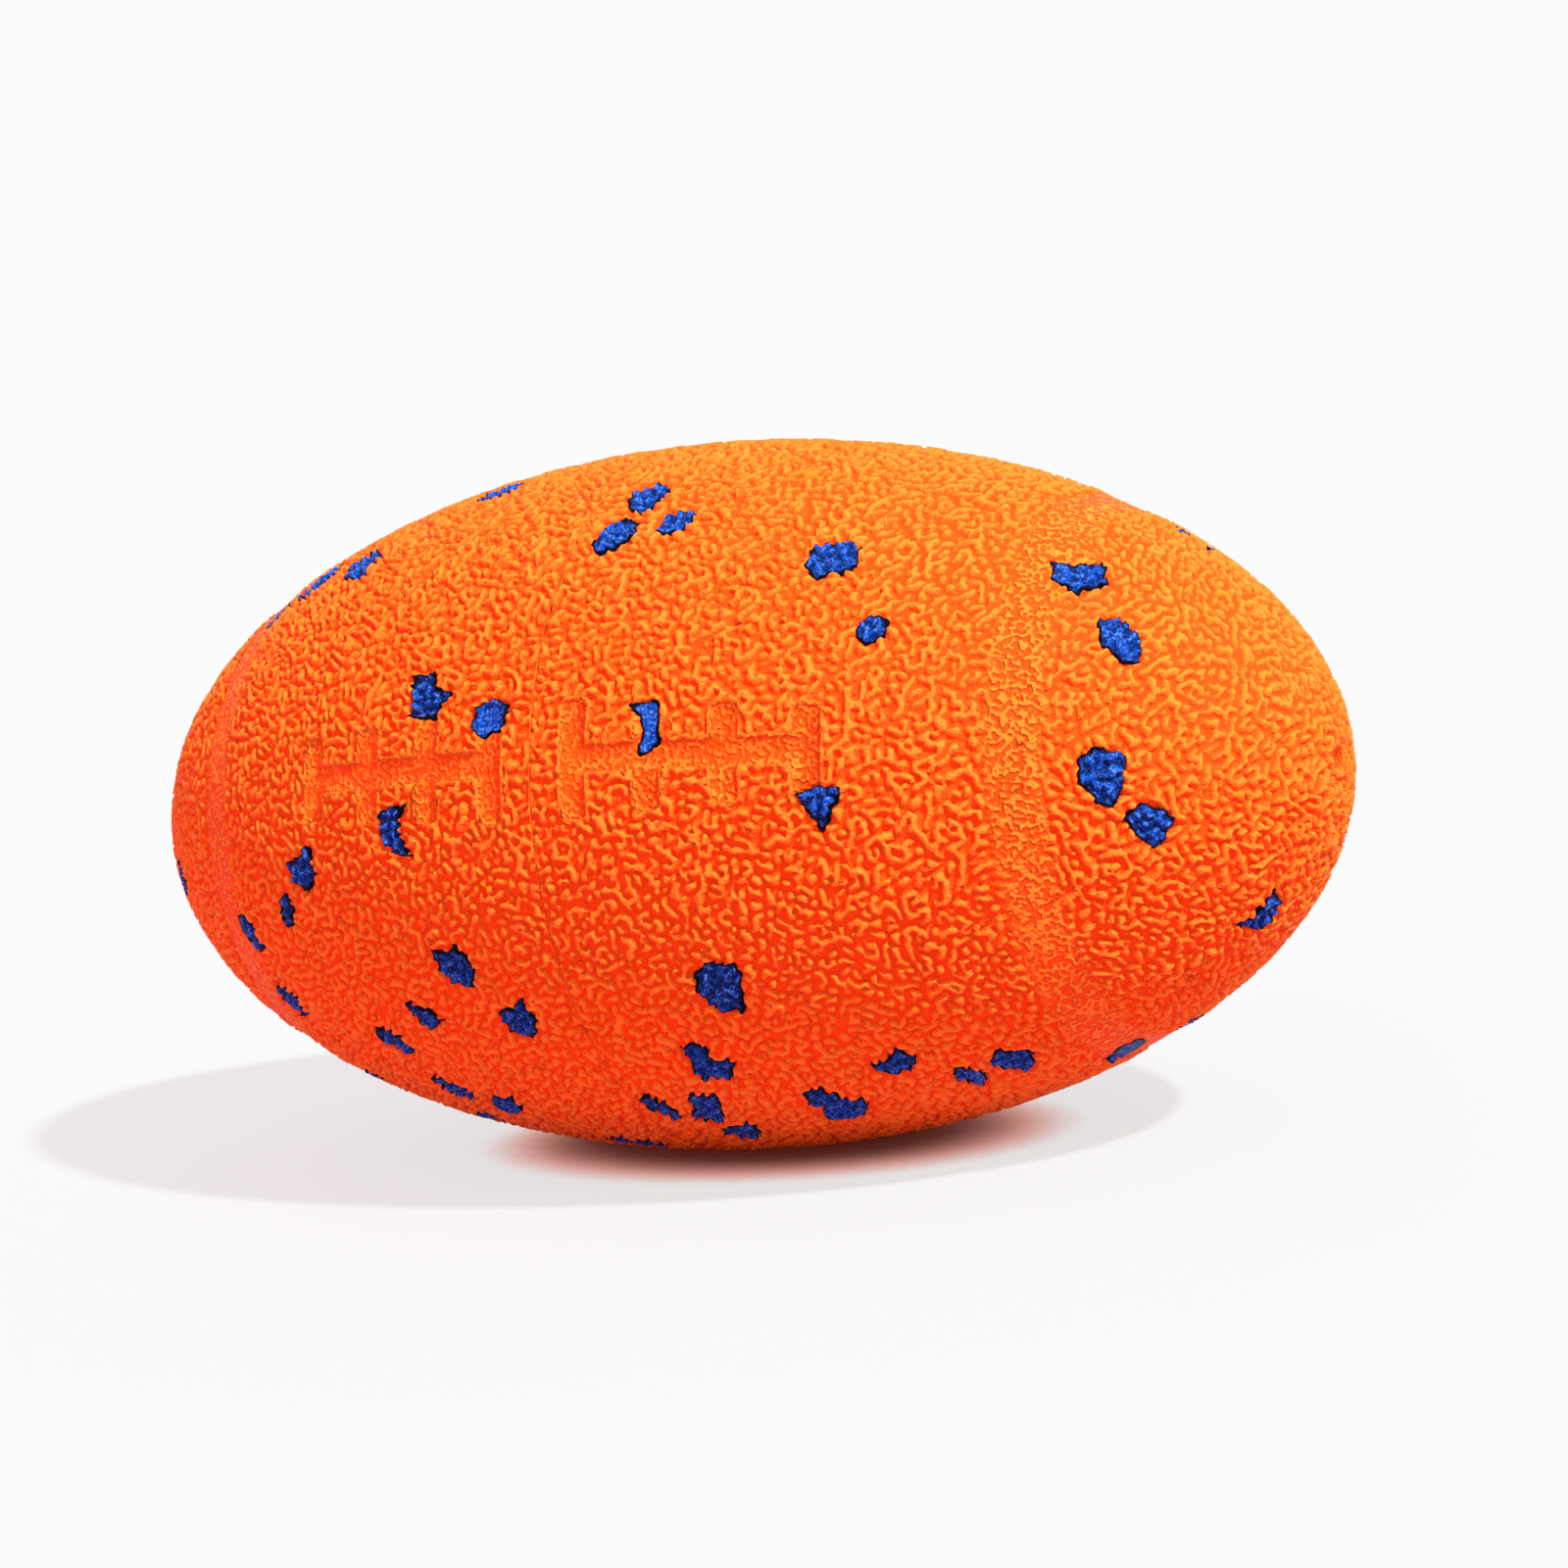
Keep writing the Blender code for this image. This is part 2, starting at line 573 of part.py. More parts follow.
# Collar pressed over the post and the reed's root. Its hole has a flat above the reed.
collar_hole = post_radius + FIT_CLEARANCE
collar_flat = reed_low_side + REED_THICKNESS + FIT_CLEARANCE
collar_radius = collar_hole + COLLAR_WALL
collar_middle = Matrix.Translation(((collar_back + collar_front) / 2, 0.0, 0.0)) @ TO_LONG_AXIS
collar_round = circle(collar_radius)
collar_name = "squeaker_reed_collar"
reed_collar = prism(collar_name, collar_round, COLLAR_WIDTH, collar_middle, parts, squeaker_plastic)
flat_angle = math.pi - math.acos(collar_flat / collar_hole)
hole_outline = arc(0.0, 0.0, collar_hole, -flat_angle, flat_angle, SMALL_STEPS)
cut(reed_collar, prism("collar_hole", hole_outline, 2 * COLLAR_WIDTH, collar_middle, cutters))
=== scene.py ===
"""Oval rubber pet ball: two grained half shells, blue rubber chips in their skin and a squeaker inside."""
import math
import random

import bmesh
import bpy
import numpy as np
from mathutils import Matrix, Vector
from mathutils.geometry import delaunay_2d_cdt


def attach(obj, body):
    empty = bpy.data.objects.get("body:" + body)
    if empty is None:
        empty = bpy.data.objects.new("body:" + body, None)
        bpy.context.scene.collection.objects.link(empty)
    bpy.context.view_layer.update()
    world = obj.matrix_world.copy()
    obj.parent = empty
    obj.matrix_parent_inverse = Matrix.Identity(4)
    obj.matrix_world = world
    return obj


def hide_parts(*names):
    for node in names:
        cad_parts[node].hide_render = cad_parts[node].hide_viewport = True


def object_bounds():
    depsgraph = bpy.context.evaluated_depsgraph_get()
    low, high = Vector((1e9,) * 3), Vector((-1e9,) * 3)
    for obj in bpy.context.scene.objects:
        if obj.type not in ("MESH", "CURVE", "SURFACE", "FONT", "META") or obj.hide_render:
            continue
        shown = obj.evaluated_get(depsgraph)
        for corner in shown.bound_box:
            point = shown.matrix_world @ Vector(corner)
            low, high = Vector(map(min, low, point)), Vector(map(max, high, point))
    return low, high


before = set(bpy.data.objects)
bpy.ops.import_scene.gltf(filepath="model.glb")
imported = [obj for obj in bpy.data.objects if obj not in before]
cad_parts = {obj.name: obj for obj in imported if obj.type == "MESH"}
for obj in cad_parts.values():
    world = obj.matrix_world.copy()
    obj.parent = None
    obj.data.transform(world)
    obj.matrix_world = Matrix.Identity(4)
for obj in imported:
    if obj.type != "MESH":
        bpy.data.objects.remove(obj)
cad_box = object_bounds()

# Squeaker: a housing, its cap, the reed seat and the collar, all moulded in milky polyethylene and
# pressed together, and a reed cut from clear film. It sits in the boss behind the air port.
MILLIMETRE = 0.001
MILKY_PALE = (0.82, 0.83, 0.79)
MILKY_DULL = (0.74, 0.75, 0.71)
MILKY_ROUGHNESS = 0.45
FILM_PALE = (0.66, 0.70, 0.72)
FILM_DULL = (0.56, 0.61, 0.64)
FILM_ROUGHNESS = 0.28
PLASTIC_IOR = 1.5
PLASTIC_CLOUD_SIZE = 4 * MILLIMETRE
SATIN_SIZE = 0.2 * MILLIMETRE
SATIN_SPREAD = 0.2
SATIN_HEIGHT = 0.01 * MILLIMETRE


class Wire:
    """One output of a node. Arithmetic on it adds Math nodes to its tree."""

    def __init__(self, socket):
        self.socket = socket

    @staticmethod
    def node(tree, kind, settings=None, sockets=None, output=0):
        made = tree.nodes.new(kind)
        for name, value in (settings or {}).items():
            setattr(made, name, value)
        for key, value in (sockets or {}).items():
            if isinstance(value, Wire):
                tree.links.new(value.socket, made.inputs[key])
            else:
                made.inputs[key].default_value = value
        return Wire(made.outputs[output]) if made.outputs else None

    def maths(self, operation, *others):
        sockets = dict(enumerate((self,) + others))
        return Wire.node(self.socket.id_data, "ShaderNodeMath", {"operation": operation}, sockets)

    def __add__(self, other):
        return self.maths("ADD", other)

    def __sub__(self, other):
        return self.maths("SUBTRACT", other)

    def __rsub__(self, other):
        return self.maths("MULTIPLY", -1.0) + other

    def __mul__(self, other):
        return self.maths("MULTIPLY", other)

    def __truediv__(self, other):
        return self.maths("DIVIDE", other)

    __radd__ = __add__
    __rmul__ = __mul__


def fade(wire, low, high):
    """0 below low and 1 above high, with a soft step between them."""
    sockets = {"Value": wire, "From Min": low, "From Max": high}
    return Wire.node(wire.socket.id_data, "ShaderNodeMapRange", {"interpolation_type": "SMOOTHSTEP"}, sockets)


def tint(factor, low, high):
    """A colour between two, which may be wires or plain colours."""
    colours = [c if isinstance(c, Wire) else (*c, 1.0) for c in (low, high)]
    sockets = {0: factor, 6: colours[0], 7: colours[1]}
    return Wire.node(factor.socket.id_data, "ShaderNodeMix", {"data_type": "RGBA"}, sockets, 2)


def new_finish(name):
    """An empty material tree, and the place on the piece as a wire."""
    material = bpy.data.materials.new(name)
    material.use_nodes = True
    material.node_tree.nodes.clear()
    place = Wire.node(material.node_tree, "ShaderNodeTexCoord", output="Object")
    return material, material.node_tree, place


def speckle(place, size, detail=2.0, roughness=0.5):
    """Noise of about that size in metres, from 0 to 1."""
    scale = size.maths("POWER", -1.0) if isinstance(size, Wire) else 1 / size
    sockets = {"Vector": place, "Scale": scale, "Detail": detail, "Roughness": roughness}
    return Wire.node(place.socket.id_data, "ShaderNodeTexNoise", None, sockets, "Fac")


def surface(tree, sockets, bump=None, bump_height=0.0):
    """The Principled surface of a finish, with its bump in metres."""
    if bump is not None:
        relief = {"Height": bump, "Distance": bump_height, "Strength": 1.0}
        sockets["Normal"] = Wire.node(tree, "ShaderNodeBump", None, relief, "Normal")
    shader = Wire.node(tree, "ShaderNodeBsdfPrincipled", None, sockets)
    Wire.node(tree, "ShaderNodeOutputMaterial", None, {"Surface": shader})


def plain_moulding(name, pale, dull, roughness):
    """Moulded plastic: a faint cloud in its colour, and a fine satin from the tool."""
    material, tree, place = new_finish(name)
    cloud = speckle(place, PLASTIC_CLOUD_SIZE)
    satin = speckle(place, SATIN_SIZE)
    sockets = {
        "Base Color": tint(cloud, dull, pale),
        "Roughness": satin * SATIN_SPREAD + (roughness - SATIN_SPREAD / 2),
        "IOR": PLASTIC_IOR,
    }
    surface(tree, sockets, satin, SATIN_HEIGHT)
    return material


def coat(piece, material):
    """Gives a piece that finish alone."""
    piece.data.materials.clear()
    piece.data.materials.append(material)


squeaker_plastic = plain_moulding("squeaker_plastic", MILKY_PALE, MILKY_DULL, MILKY_ROUGHNESS)
reed_film = plain_moulding("reed_film", FILM_PALE, FILM_DULL, FILM_ROUGHNESS)
for node in ("squeaker_housing", "squeaker_cap", "squeaker_reed_seat", "squeaker_reed_collar"):
    coat(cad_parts[node], squeaker_plastic)
coat(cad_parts["squeaker_reed"], reed_film)

# Two half shells of orange rubber, pressed in heated moulds whose wall carries the worm-like grain,
# the sunken laces and the stripe. The blue chips are laid in the mould first, so each has its pocket.
half_length = cad_box[1].x
radius = cad_box[1].y
centre_height = cad_box[1].z - radius

SIDES = {"front": 1.0, "rear": -1.0}
SKIN_PITCH = 0.20 * MILLIMETRE
ROW_SHARE = math.sqrt(3) / 2
OUTLINE_STEPS = 4000
WALL = 6 * MILLIMETRE
RIM_GAP = 0.05 * MILLIMETRE
RIM_ROUND = 0.06 * MILLIMETRE
RIM_SINK = 0.14 * MILLIMETRE
GRAIN_FADE = 0.25 * MILLIMETRE
ROUND_STEPS = 4
INNER_PITCH = 3 * MILLIMETRE
PORT_RADIUS = 1.4 * MILLIMETRE
PORT_ROUND = 0.5 * MILLIMETRE
SOCKET_FLOOR = half_length - 6 * MILLIMETRE
SOCKET_RADIUS = 8.3 * MILLIMETRE
LIP_RADIUS = 7.2 * MILLIMETRE
LIP_TOP = 57.4 * MILLIMETRE
LIP_BOTTOM = 56.2 * MILLIMETRE
BOSS_RADIUS = 11.5 * MILLIMETRE
SHELL_TRIANGLES = 192000


def oval_rows(long_radius, short_radius, start, end, pitch):
    """Stations and radii up an oval, evenly spaced along its outline from one station to another."""
    first = math.asin(start / long_radius)
    last = math.asin(min(1.0, end / long_radius))
    angles = np.linspace(first, last, OUTLINE_STEPS)
    stations = long_radius * np.sin(angles)
    radii = short_radius * np.cos(angles)
    run = np.concatenate(([0.0], np.cumsum(np.hypot(np.diff(stations), np.diff(radii)))))
    evenly = np.linspace(0.0, run[-1], max(2, round(run[-1] / pitch)) + 1)
    return list(zip(np.interp(evenly, run, stations), np.interp(evenly, run, radii)))


def oval_station(ring_radius):
    """Where the oval has that radius."""
    return half_length * math.sqrt(1 - (ring_radius / radius) ** 2)


def zipped(first, count, lead, next_first, next_count, next_lead):
    """Triangles between two rings of points that need not have the same count or the same lead."""
    pair = ((count, lead), (next_count, next_lead))
    turns = [(np.arange(n if n > 1 else 0) + 0.5 + k) / n for n, k in pair]
    upper = np.concatenate([np.full(len(t), k) for k, t in enumerate(turns)])
    upper = upper[np.argsort(np.concatenate(turns), kind="stable")]
    here = np.cumsum(upper == 0) - (upper == 0)
    there = np.cumsum(upper == 1) - (upper == 1)
    corner = np.where(upper == 0, first + (here + 1) % count, next_first + (there + 1) % next_count)
    return np.stack([first + here % count, corner, next_first + there % next_count], axis=1)


def turned_mesh(name, side, rings):
    """A closed mesh turned on the long axis, from rings of (station, radius, points, grain share)."""
    counts = [ring[2] for ring in rings]
    starts = np.concatenate(([0], np.cumsum(counts)))
    leads = [(i % 2) / 2 for i in range(len(rings))]
    points = []
    for (station, ring_radius, count, _), lead in zip(rings, leads):
        turn = side * 2 * math.pi * (np.arange(count) + lead) / count
        ring = [np.full(count, side * station), -ring_radius * np.cos(turn), -ring_radius * np.sin(turn)]
        points.append(np.stack(ring, axis=1) + (0.0, 0.0, centre_height))
    faces = []
    for i in range(len(rings)):
        after = (i + 1) % len(rings)
        faces.append(zipped(starts[i], counts[i], leads[i], starts[after], counts[after], leads[after]))
    mesh = plain_mesh(name, np.concatenate(points), np.concatenate(faces))
    store(mesh, "skin", np.concatenate([np.full(ring[2], ring[3]) for ring in rings]))
    return mesh


def plain_mesh(name, points, faces):
    """A smooth mesh from arrays of points and triangles."""
    mesh = bpy.data.meshes.new(name)
    mesh.vertices.add(len(points))
    mesh.vertices.foreach_set("co", np.asarray(points, np.float32).ravel())
    mesh.loops.add(3 * len(faces))
    mesh.loops.foreach_set("vertex_index", np.asarray(faces, np.int32).ravel())
    mesh.polygons.add(len(faces))
    mesh.polygons.foreach_set("loop_start", np.arange(0, 3 * len(faces), 3, dtype=np.int32))
    mesh.update(calc_edges=True)
    mesh.shade_smooth()
    return mesh


def store(mesh, name, values):
    """One number for each point of a mesh."""
    layer = mesh.attributes.new(name, "FLOAT", "POINT")
    layer.data.foreach_set("value", np.asarray(values, np.float32))


def put(name, mesh):
    """An object at the origin for a mesh that holds its own place."""
    piece = bpy.data.objects.new(name, mesh)
    bpy.context.scene.collection.objects.link(piece)
    return piece


def skin_rings(end):
    """The outer skin from the rounded rim to a station near the tip."""
    rim_end = RIM_GAP + RIM_ROUND
    rings = []
    for i in range(ROUND_STEPS):
        turn = math.pi / 2 * i / ROUND_STEPS
        rim_radius = radius - RIM_SINK - RIM_ROUND * (1 - math.sin(turn))
        rings.append((RIM_GAP + RIM_ROUND * (1 - math.cos(turn)), rim_radius, 0.0))
    for station, ring_radius in oval_rows(half_length, radius, rim_end, end, SKIN_PITCH * ROW_SHARE):
        share = min(1.0, (station - RIM_GAP - RIM_ROUND) / GRAIN_FADE)
        rings.append((station, ring_radius - RIM_SINK * (1 - share), share))
    points = [max(1, round(2 * math.pi * ring_radius / SKIN_PITCH)) for _, ring_radius, _ in rings]
    return [(s, r, n, share) for (s, r, share), n in zip(rings, points)]


def wall_rings(rows):
    """Plain rings of the inside, which carry no grain."""
    return [(s, r, max(1, round(2 * math.pi * r / INNER_PITCH)), 0.0) for s, r in rows]


inner_half = half_length - WALL
inner_radius = radius - WALL
rear_inside = oval_rows(inner_half, inner_radius, RIM_GAP, inner_half, INNER_PITCH)

lip_start = PORT_RADIUS + PORT_ROUND
port_rows = []
for i in range(1, ROUND_STEPS + 1):
    turn = math.pi / 2 * i / ROUND_STEPS
    lip_station = oval_station(lip_start) - PORT_ROUND * (1 - math.cos(turn))
    port_rows.append((lip_station, lip_start - PORT_ROUND * math.sin(turn)))
boss_root = inner_half * math.sqrt(1 - (BOSS_RADIUS / inner_radius) ** 2)
socket_rows = [
    (SOCKET_FLOOR, PORT_RADIUS),
    (SOCKET_FLOOR, SOCKET_RADIUS),
    (LIP_TOP, SOCKET_RADIUS),
    (LIP_TOP, LIP_RADIUS),
    (LIP_BOTTOM, LIP_RADIUS),
    (LIP_BOTTOM, BOSS_RADIUS),
]
front_inside = oval_rows(inner_half, inner_radius, RIM_GAP, boss_root, INNER_PITCH)
port_rings = [(s, r, round(2 * math.pi * lip_start / SKIN_PITCH), 0.0) for s, r in port_rows]
front_skin = skin_rings(oval_station(lip_start))
rings_of = {
    "front": front_skin + port_rings + wall_rings(socket_rows + front_inside[::-1]),
    "rear": skin_rings(half_length) + wall_rings(rear_inside[::-1]),
}
mould_halves = {}
for half, side in SIDES.items():
    mould_halves[half] = put(half + "_mould", turned_mesh(half + "_mould", side, rings_of[half]))

# Torn outlines of the chips, on the tangent plane of the oval at each chip's place
TEAR = 0.22
TEAR_STEP = 0.26 * MILLIMETRE
CHIP_PITCH = 0.27 * MILLIMETRE
CHIP_EDGE_CLEAR = 0.4 * CHIP_PITCH
TOP_FACING = 0.8
SAME_CORNER = 0.001 * MILLIMETRE
SAME_SPOT = 1e-9
INSIDE_FACES = 1
tear_draw = random.Random(11)


def on_oval(point):
    """The nearest place on the oval, seen from its middle."""
    out = Vector((point.x / half_length, point.y / radius, (point.z - centre_height) / radius)).length
    return Vector((point.x / out, point.y / out, centre_height + (point.z - centre_height) / out))


def oval_frame(point):
    """Axes along, around and out of the oval at a place on it."""
    rise = point.z - centre_height
    out = Vector((point.x / half_length ** 2, point.y / radius ** 2, rise / radius ** 2)).normalized()
    around = out.cross(Vector((1.0, 0.0, 0.0))).normalized()
    along = around.cross(out)
    return Matrix((along, around, out)).transposed().to_4x4()


def node_outline(node):
    """Middle of a chip's CAD node on the oval, its axes, and the corners of its top face in order."""
    cad = bmesh.new()
    cad.from_mesh(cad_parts[node].data)
    bmesh.ops.remove_doubles(cad, verts=cad.verts, dist=SAME_CORNER)
    middle = on_oval(sum((v.co for v in cad.verts), Vector()) / len(cad.verts))
    axes = oval_frame(middle)
    out = axes.col[2].to_3d()
    top = {f for f in cad.faces if f.normal.dot(out) > TOP_FACING}
    rim = [e for e in cad.edges if sum(f in top for f in e.link_faces) == 1]
    links = {}
    for edge in rim:
        for vert in edge.verts:
            links.setdefault(vert, []).append(edge.other_vert(vert))
    loop = [rim[0].verts[0]]
    while len(loop) < len(links):
        ahead = [v for v in links[loop[-1]] if len(loop) < 2 or v is not loop[-2]]
        loop.append(ahead[0])
    turned = axes.to_3x3().transposed()
    corners = [(turned @ (v.co - middle)).to_2d() for v in loop]
    cad.free()
    return middle, axes, corners


def torn(corners, draw):
    """The outline with each side broken into small ragged steps."""
    ragged = []
    for start, end in zip(corners, corners[1:] + corners[:1]):
        side = [start, end]
        while (side[1] - side[0]).length > TEAR_STEP:
            broken = []
            for a, b in zip(side, side[1:]):
                run = b - a
                middle = (a + b) / 2 + Vector((run.y, -run.x)) * draw.uniform(-TEAR, TEAR)
                broken += [a, middle]
            side = broken + [end]
        ragged += side[:-1]
    return ragged


def edge_distance(points, outline):
    """How far each point of the plane is from an outline."""
    points = np.array(points)[:, None, :]
    start = np.array(outline)
    side = np.roll(start, -1, axis=0) - start
    share = np.clip(((points - start) * side).sum(2) / (side ** 2).sum(1), 0.0, 1.0)
    return np.linalg.norm(points - start - share[..., None] * side, axis=2).min(axis=1)


def inside_outline(points, outline):
    """Which points of the plane lie inside an outline."""
    x, y = np.array(points).T[:, :, None]
    start = np.array(outline)
    end = np.roll(start, -1, axis=0)
    crosses = (start[:, 1] > y) != (end[:, 1] > y)
    rise = np.where(end[:, 1] == start[:, 1], 1.0, end[:, 1] - start[:, 1])
    left = x < start[:, 0] + (end[:, 0] - start[:, 0]) * (y - start[:, 1]) / rise
    return (crosses & left).sum(axis=1) % 2 == 1


def chip_patch(middle, axes, corners, draw):
    """The top of a chip on the oval: points, triangles and each point's distance from the edge."""
    outline = torn(corners, draw)
    low = np.min(outline, axis=0)
    high = np.max(outline, axis=0)
    grid = []
    rows = np.arange(low[1], high[1], CHIP_PITCH * ROW_SHARE)
    for i, y in enumerate(rows):
        for x in np.arange(low[0] + (i % 2) * CHIP_PITCH / 2, high[0], CHIP_PITCH):
            grid.append((x, y))
    grid = np.array(grid)
    clear = inside_outline(grid, outline) & (edge_distance(grid, outline) > CHIP_EDGE_CLEAR)
    flat = outline + [Vector(p) for p in grid[clear]]
    sides = [(i, (i + 1) % len(outline)) for i in range(len(outline))]
    spots, _, faces, _, _, _ = delaunay_2d_cdt(flat, sides, [], INSIDE_FACES, SAME_SPOT)
    spots = [Vector(p) for p in spots]
    points = [on_oval(middle + axes.to_3x3() @ p.to_3d()) for p in spots]
    out = axes.col[2].to_3d()
    wound = []
    for a, b, c in faces:
        facing = (points[b] - points[a]).cross(points[c] - points[a]).dot(out) > 0
        wound.append((a, b, c) if facing else (a, c, b))
    return points, wound, edge_distance([tuple(p) for p in spots], outline)


def joined(name, patches):
    """One mesh of several patches, with the edge distance stored."""
    points = [p for patch in patches for p in patch[0]]
    faces = []
    base = 0
    for spots, corners, _ in patches:
        faces += [(a + base, b + base, c + base) for a, b, c in corners]
        base += len(spots)
    mesh = plain_mesh(name, points, faces)
    store(mesh, "edge", np.concatenate([patch[2] for patch in patches]))
    return mesh


chip_nodes = sorted(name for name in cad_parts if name.startswith("blue_fleck"))
chip_patches = {node: chip_patch(*node_outline(node), tear_draw) for node in chip_nodes}

# Small chips in view that have no CAD node: (latitude, clock, length, width) in degrees and mm
SMALL_CHIPS = [
    (-31.3, -8.5, 2.8, 4.6),
    (-21, -61, 5.0, 3.8),
    (-34, -57, 4.6, 3.4),
    (-41.5, 64, 4.4, 4.6),
    (50.6, 103.2, 2.2, 2.0),
    (54.2, 104.8, 2.4, 2.0),
    (47, -88, 4.4, 4.0),
    (-14.5, -79, 5.4, 3.2),
    (-8.5, -84, 4.4, 3.0),
]
CORNER_COUNT = (5, 8)
CORNER_SHIFT = 0.25
CORNER_REACH = (0.7, 1.1)
# Chips of the far side, thrown at random and kept where they lie clear of the seam and of each other
FAR_CHIP_COUNT = 32
FAR_CHIP_SIZE = (3.2, 5.6)
FAR_CLOCK = (118, 262)
FAR_LATITUDE = 66
CHIP_SPACING = 8 * MILLIMETRE
SEAM_CLEAR = 4 * MILLIMETRE


def oval_spot(latitude, clock):
    """A place on the oval from degrees towards a tip and degrees round from the level of the middle."""
    reach = radius * math.cos(math.radians(latitude))
    turn = math.radians(clock)
    station = half_length * math.sin(math.radians(latitude))
    return Vector((station, -reach * math.cos(turn), centre_height + reach * math.sin(turn)))


def small_patch(middle, length, width, draw):
    """A chip of that size in mm with a random torn outline."""
    corner_count = draw.randint(*CORNER_COUNT)
    lead = draw.uniform(0.0, math.pi)
    corners = []
    for i in range(corner_count):
        turn = lead + 2 * math.pi * (i + draw.uniform(-CORNER_SHIFT, CORNER_SHIFT)) / corner_count
        share = draw.uniform(*CORNER_REACH) * MILLIMETRE / 2
        corners.append(Vector((length * share * math.cos(turn), width * share * math.sin(turn))))
    return chip_patch(middle, oval_frame(middle), corners, draw)


small_patches = []
for latitude, clock, length, width in SMALL_CHIPS:
    small_patches.append(small_patch(oval_spot(latitude, clock), length, width, tear_draw))
near_patches = list(chip_patches.values()) + small_patches
taken = [sum(patch[0], Vector()) / len(patch[0]) for patch in near_patches]
far_draw = random.Random(29)
while len(taken) < len(near_patches) + FAR_CHIP_COUNT:
    height_share = far_draw.uniform(-1.0, 1.0) * math.sin(math.radians(FAR_LATITUDE))
    spot = oval_spot(math.degrees(math.asin(height_share)), far_draw.uniform(*FAR_CLOCK))
    clear_of_chips = all((spot - other).length > CHIP_SPACING for other in taken)
    if clear_of_chips and abs(spot.x) > SEAM_CLEAR:
        taken.append(spot)
        length = far_draw.uniform(*FAR_CHIP_SIZE)
        width = far_draw.uniform(*FAR_CHIP_SIZE)
        small_patches.append(small_patch(spot, length, width, far_draw))

patches_of = {half: [] for half in SIDES}
for patch in list(chip_patches.values()) + small_patches:
    half = "front" if patch[0][0].x > 0 else "rear"
    patches_of[half].append(patch)
pockets = {}
for half, patches in patches_of.items():
    pockets[half] = put(half + "_pockets", joined(half + "_pockets", patches))


def new_tree(name, inputs):
    """A Geometry Nodes tree with those inputs after its mesh, as wires by name."""
    tree = bpy.data.node_groups.new(name, "GeometryNodeTree")
    tree.interface.new_socket("Geometry", in_out="OUTPUT", socket_type="NodeSocketGeometry")
    tree.interface.new_socket("Geometry", in_out="INPUT", socket_type="NodeSocketGeometry")
    for label, kind in inputs.items():
        tree.interface.new_socket(label, in_out="INPUT", socket_type="NodeSocket" + kind)
    entry = tree.nodes.new("NodeGroupInput")
    return tree, {socket.name: Wire(socket) for socket in entry.outputs if socket.name}


def close_tree(tree, geometry, finish):
    """Ends a tree with plain geometry in that finish."""
    solid = Wire.node(tree, "GeometryNodeRealizeInstances", None, {"Geometry": geometry})
    solid = Wire.node(tree, "GeometryNodeSetMaterial", None, {"Geometry": solid, "Material": finish})
    Wire.node(tree, "NodeGroupOutput", None, {"Geometry": solid})


def grown(piece, tree, values):
    """Runs a tree on a piece and leaves it a plain mesh."""
    modifier = piece.modifiers.new(tree.name, "NODES")
    modifier.node_group = tree
    for socket in tree.interface.items_tree:
        if socket.in_out == "INPUT" and socket.name in values:
            modifier[socket.identifier] = values[socket.name]
    settle(piece)


def settle(piece):
    """Makes what the modifiers give the piece's own mesh, and removes them."""
    depsgraph = bpy.context.evaluated_depsgraph_get()
    old = piece.data
    piece.data = bpy.data.meshes.new_from_object(piece.evaluated_get(depsgraph), depsgraph=depsgraph)
    piece.modifiers.clear()
    bpy.data.meshes.remove(old)


def read(tree, name):
    """A stored number of the mesh."""
    return Wire.node(tree, "GeometryNodeInputNamedAttribute", {"data_type": "FLOAT"}, {"Name": name})


def kept(tree, geometry, name, value):
    """The geometry with a number stored on each point."""
    sockets = {"Geometry": geometry, "Name": name, "Value": value}
    return Wire.node(tree, "GeometryNodeStoreNamedAttribute", {"data_type": "FLOAT"}, sockets)


def blurred(tree, value, steps):
    """A value averaged with its neighbours that many times."""
    return Wire.node(tree, "GeometryNodeBlurAttribute", None, {"Value": value, "Iterations": steps})


def place_parts(tree):
    """The three coordinates of each point as wires."""
    position = Wire.node(tree, "GeometryNodeInputPosition")
    return [Wire.node(tree, "ShaderNodeSeparateXYZ", None, {0: position}, axis) for axis in range(3)]


def outward(tree, length):
    """A step of that length along the oval's own normal at each point."""
    x, y, z = place_parts(tree)
    flat = {0: x / half_length ** 2, 1: y / radius ** 2, 2: (z - centre_height) / radius ** 2}
    normal = Wire.node(tree, "ShaderNodeCombineXYZ", None, flat)
    normal = Wire.node(tree, "ShaderNodeVectorMath", {"operation": "NORMALIZE"}, {0: normal})
    return Wire.node(tree, "ShaderNodeVectorMath", {"operation": "SCALE"}, {0: normal, "Scale": length})


def moved_out(tree, geometry, lift):
    """The geometry moved along the oval's own normal by lift, and never below the floor."""
    step = outward(tree, lift)
    raised = Wire.node(tree, "GeometryNodeSetPosition", None, {"Geometry": geometry, "Offset": step})
    x, y, z = place_parts(tree)
    rested = Wire.node(tree, "ShaderNodeCombineXYZ", None, {0: x, 1: y, 2: z.maths("MAXIMUM", 0.0)})
    return Wire.node(tree, "GeometryNodeSetPosition", None, {"Geometry": raised, "Position": rested})


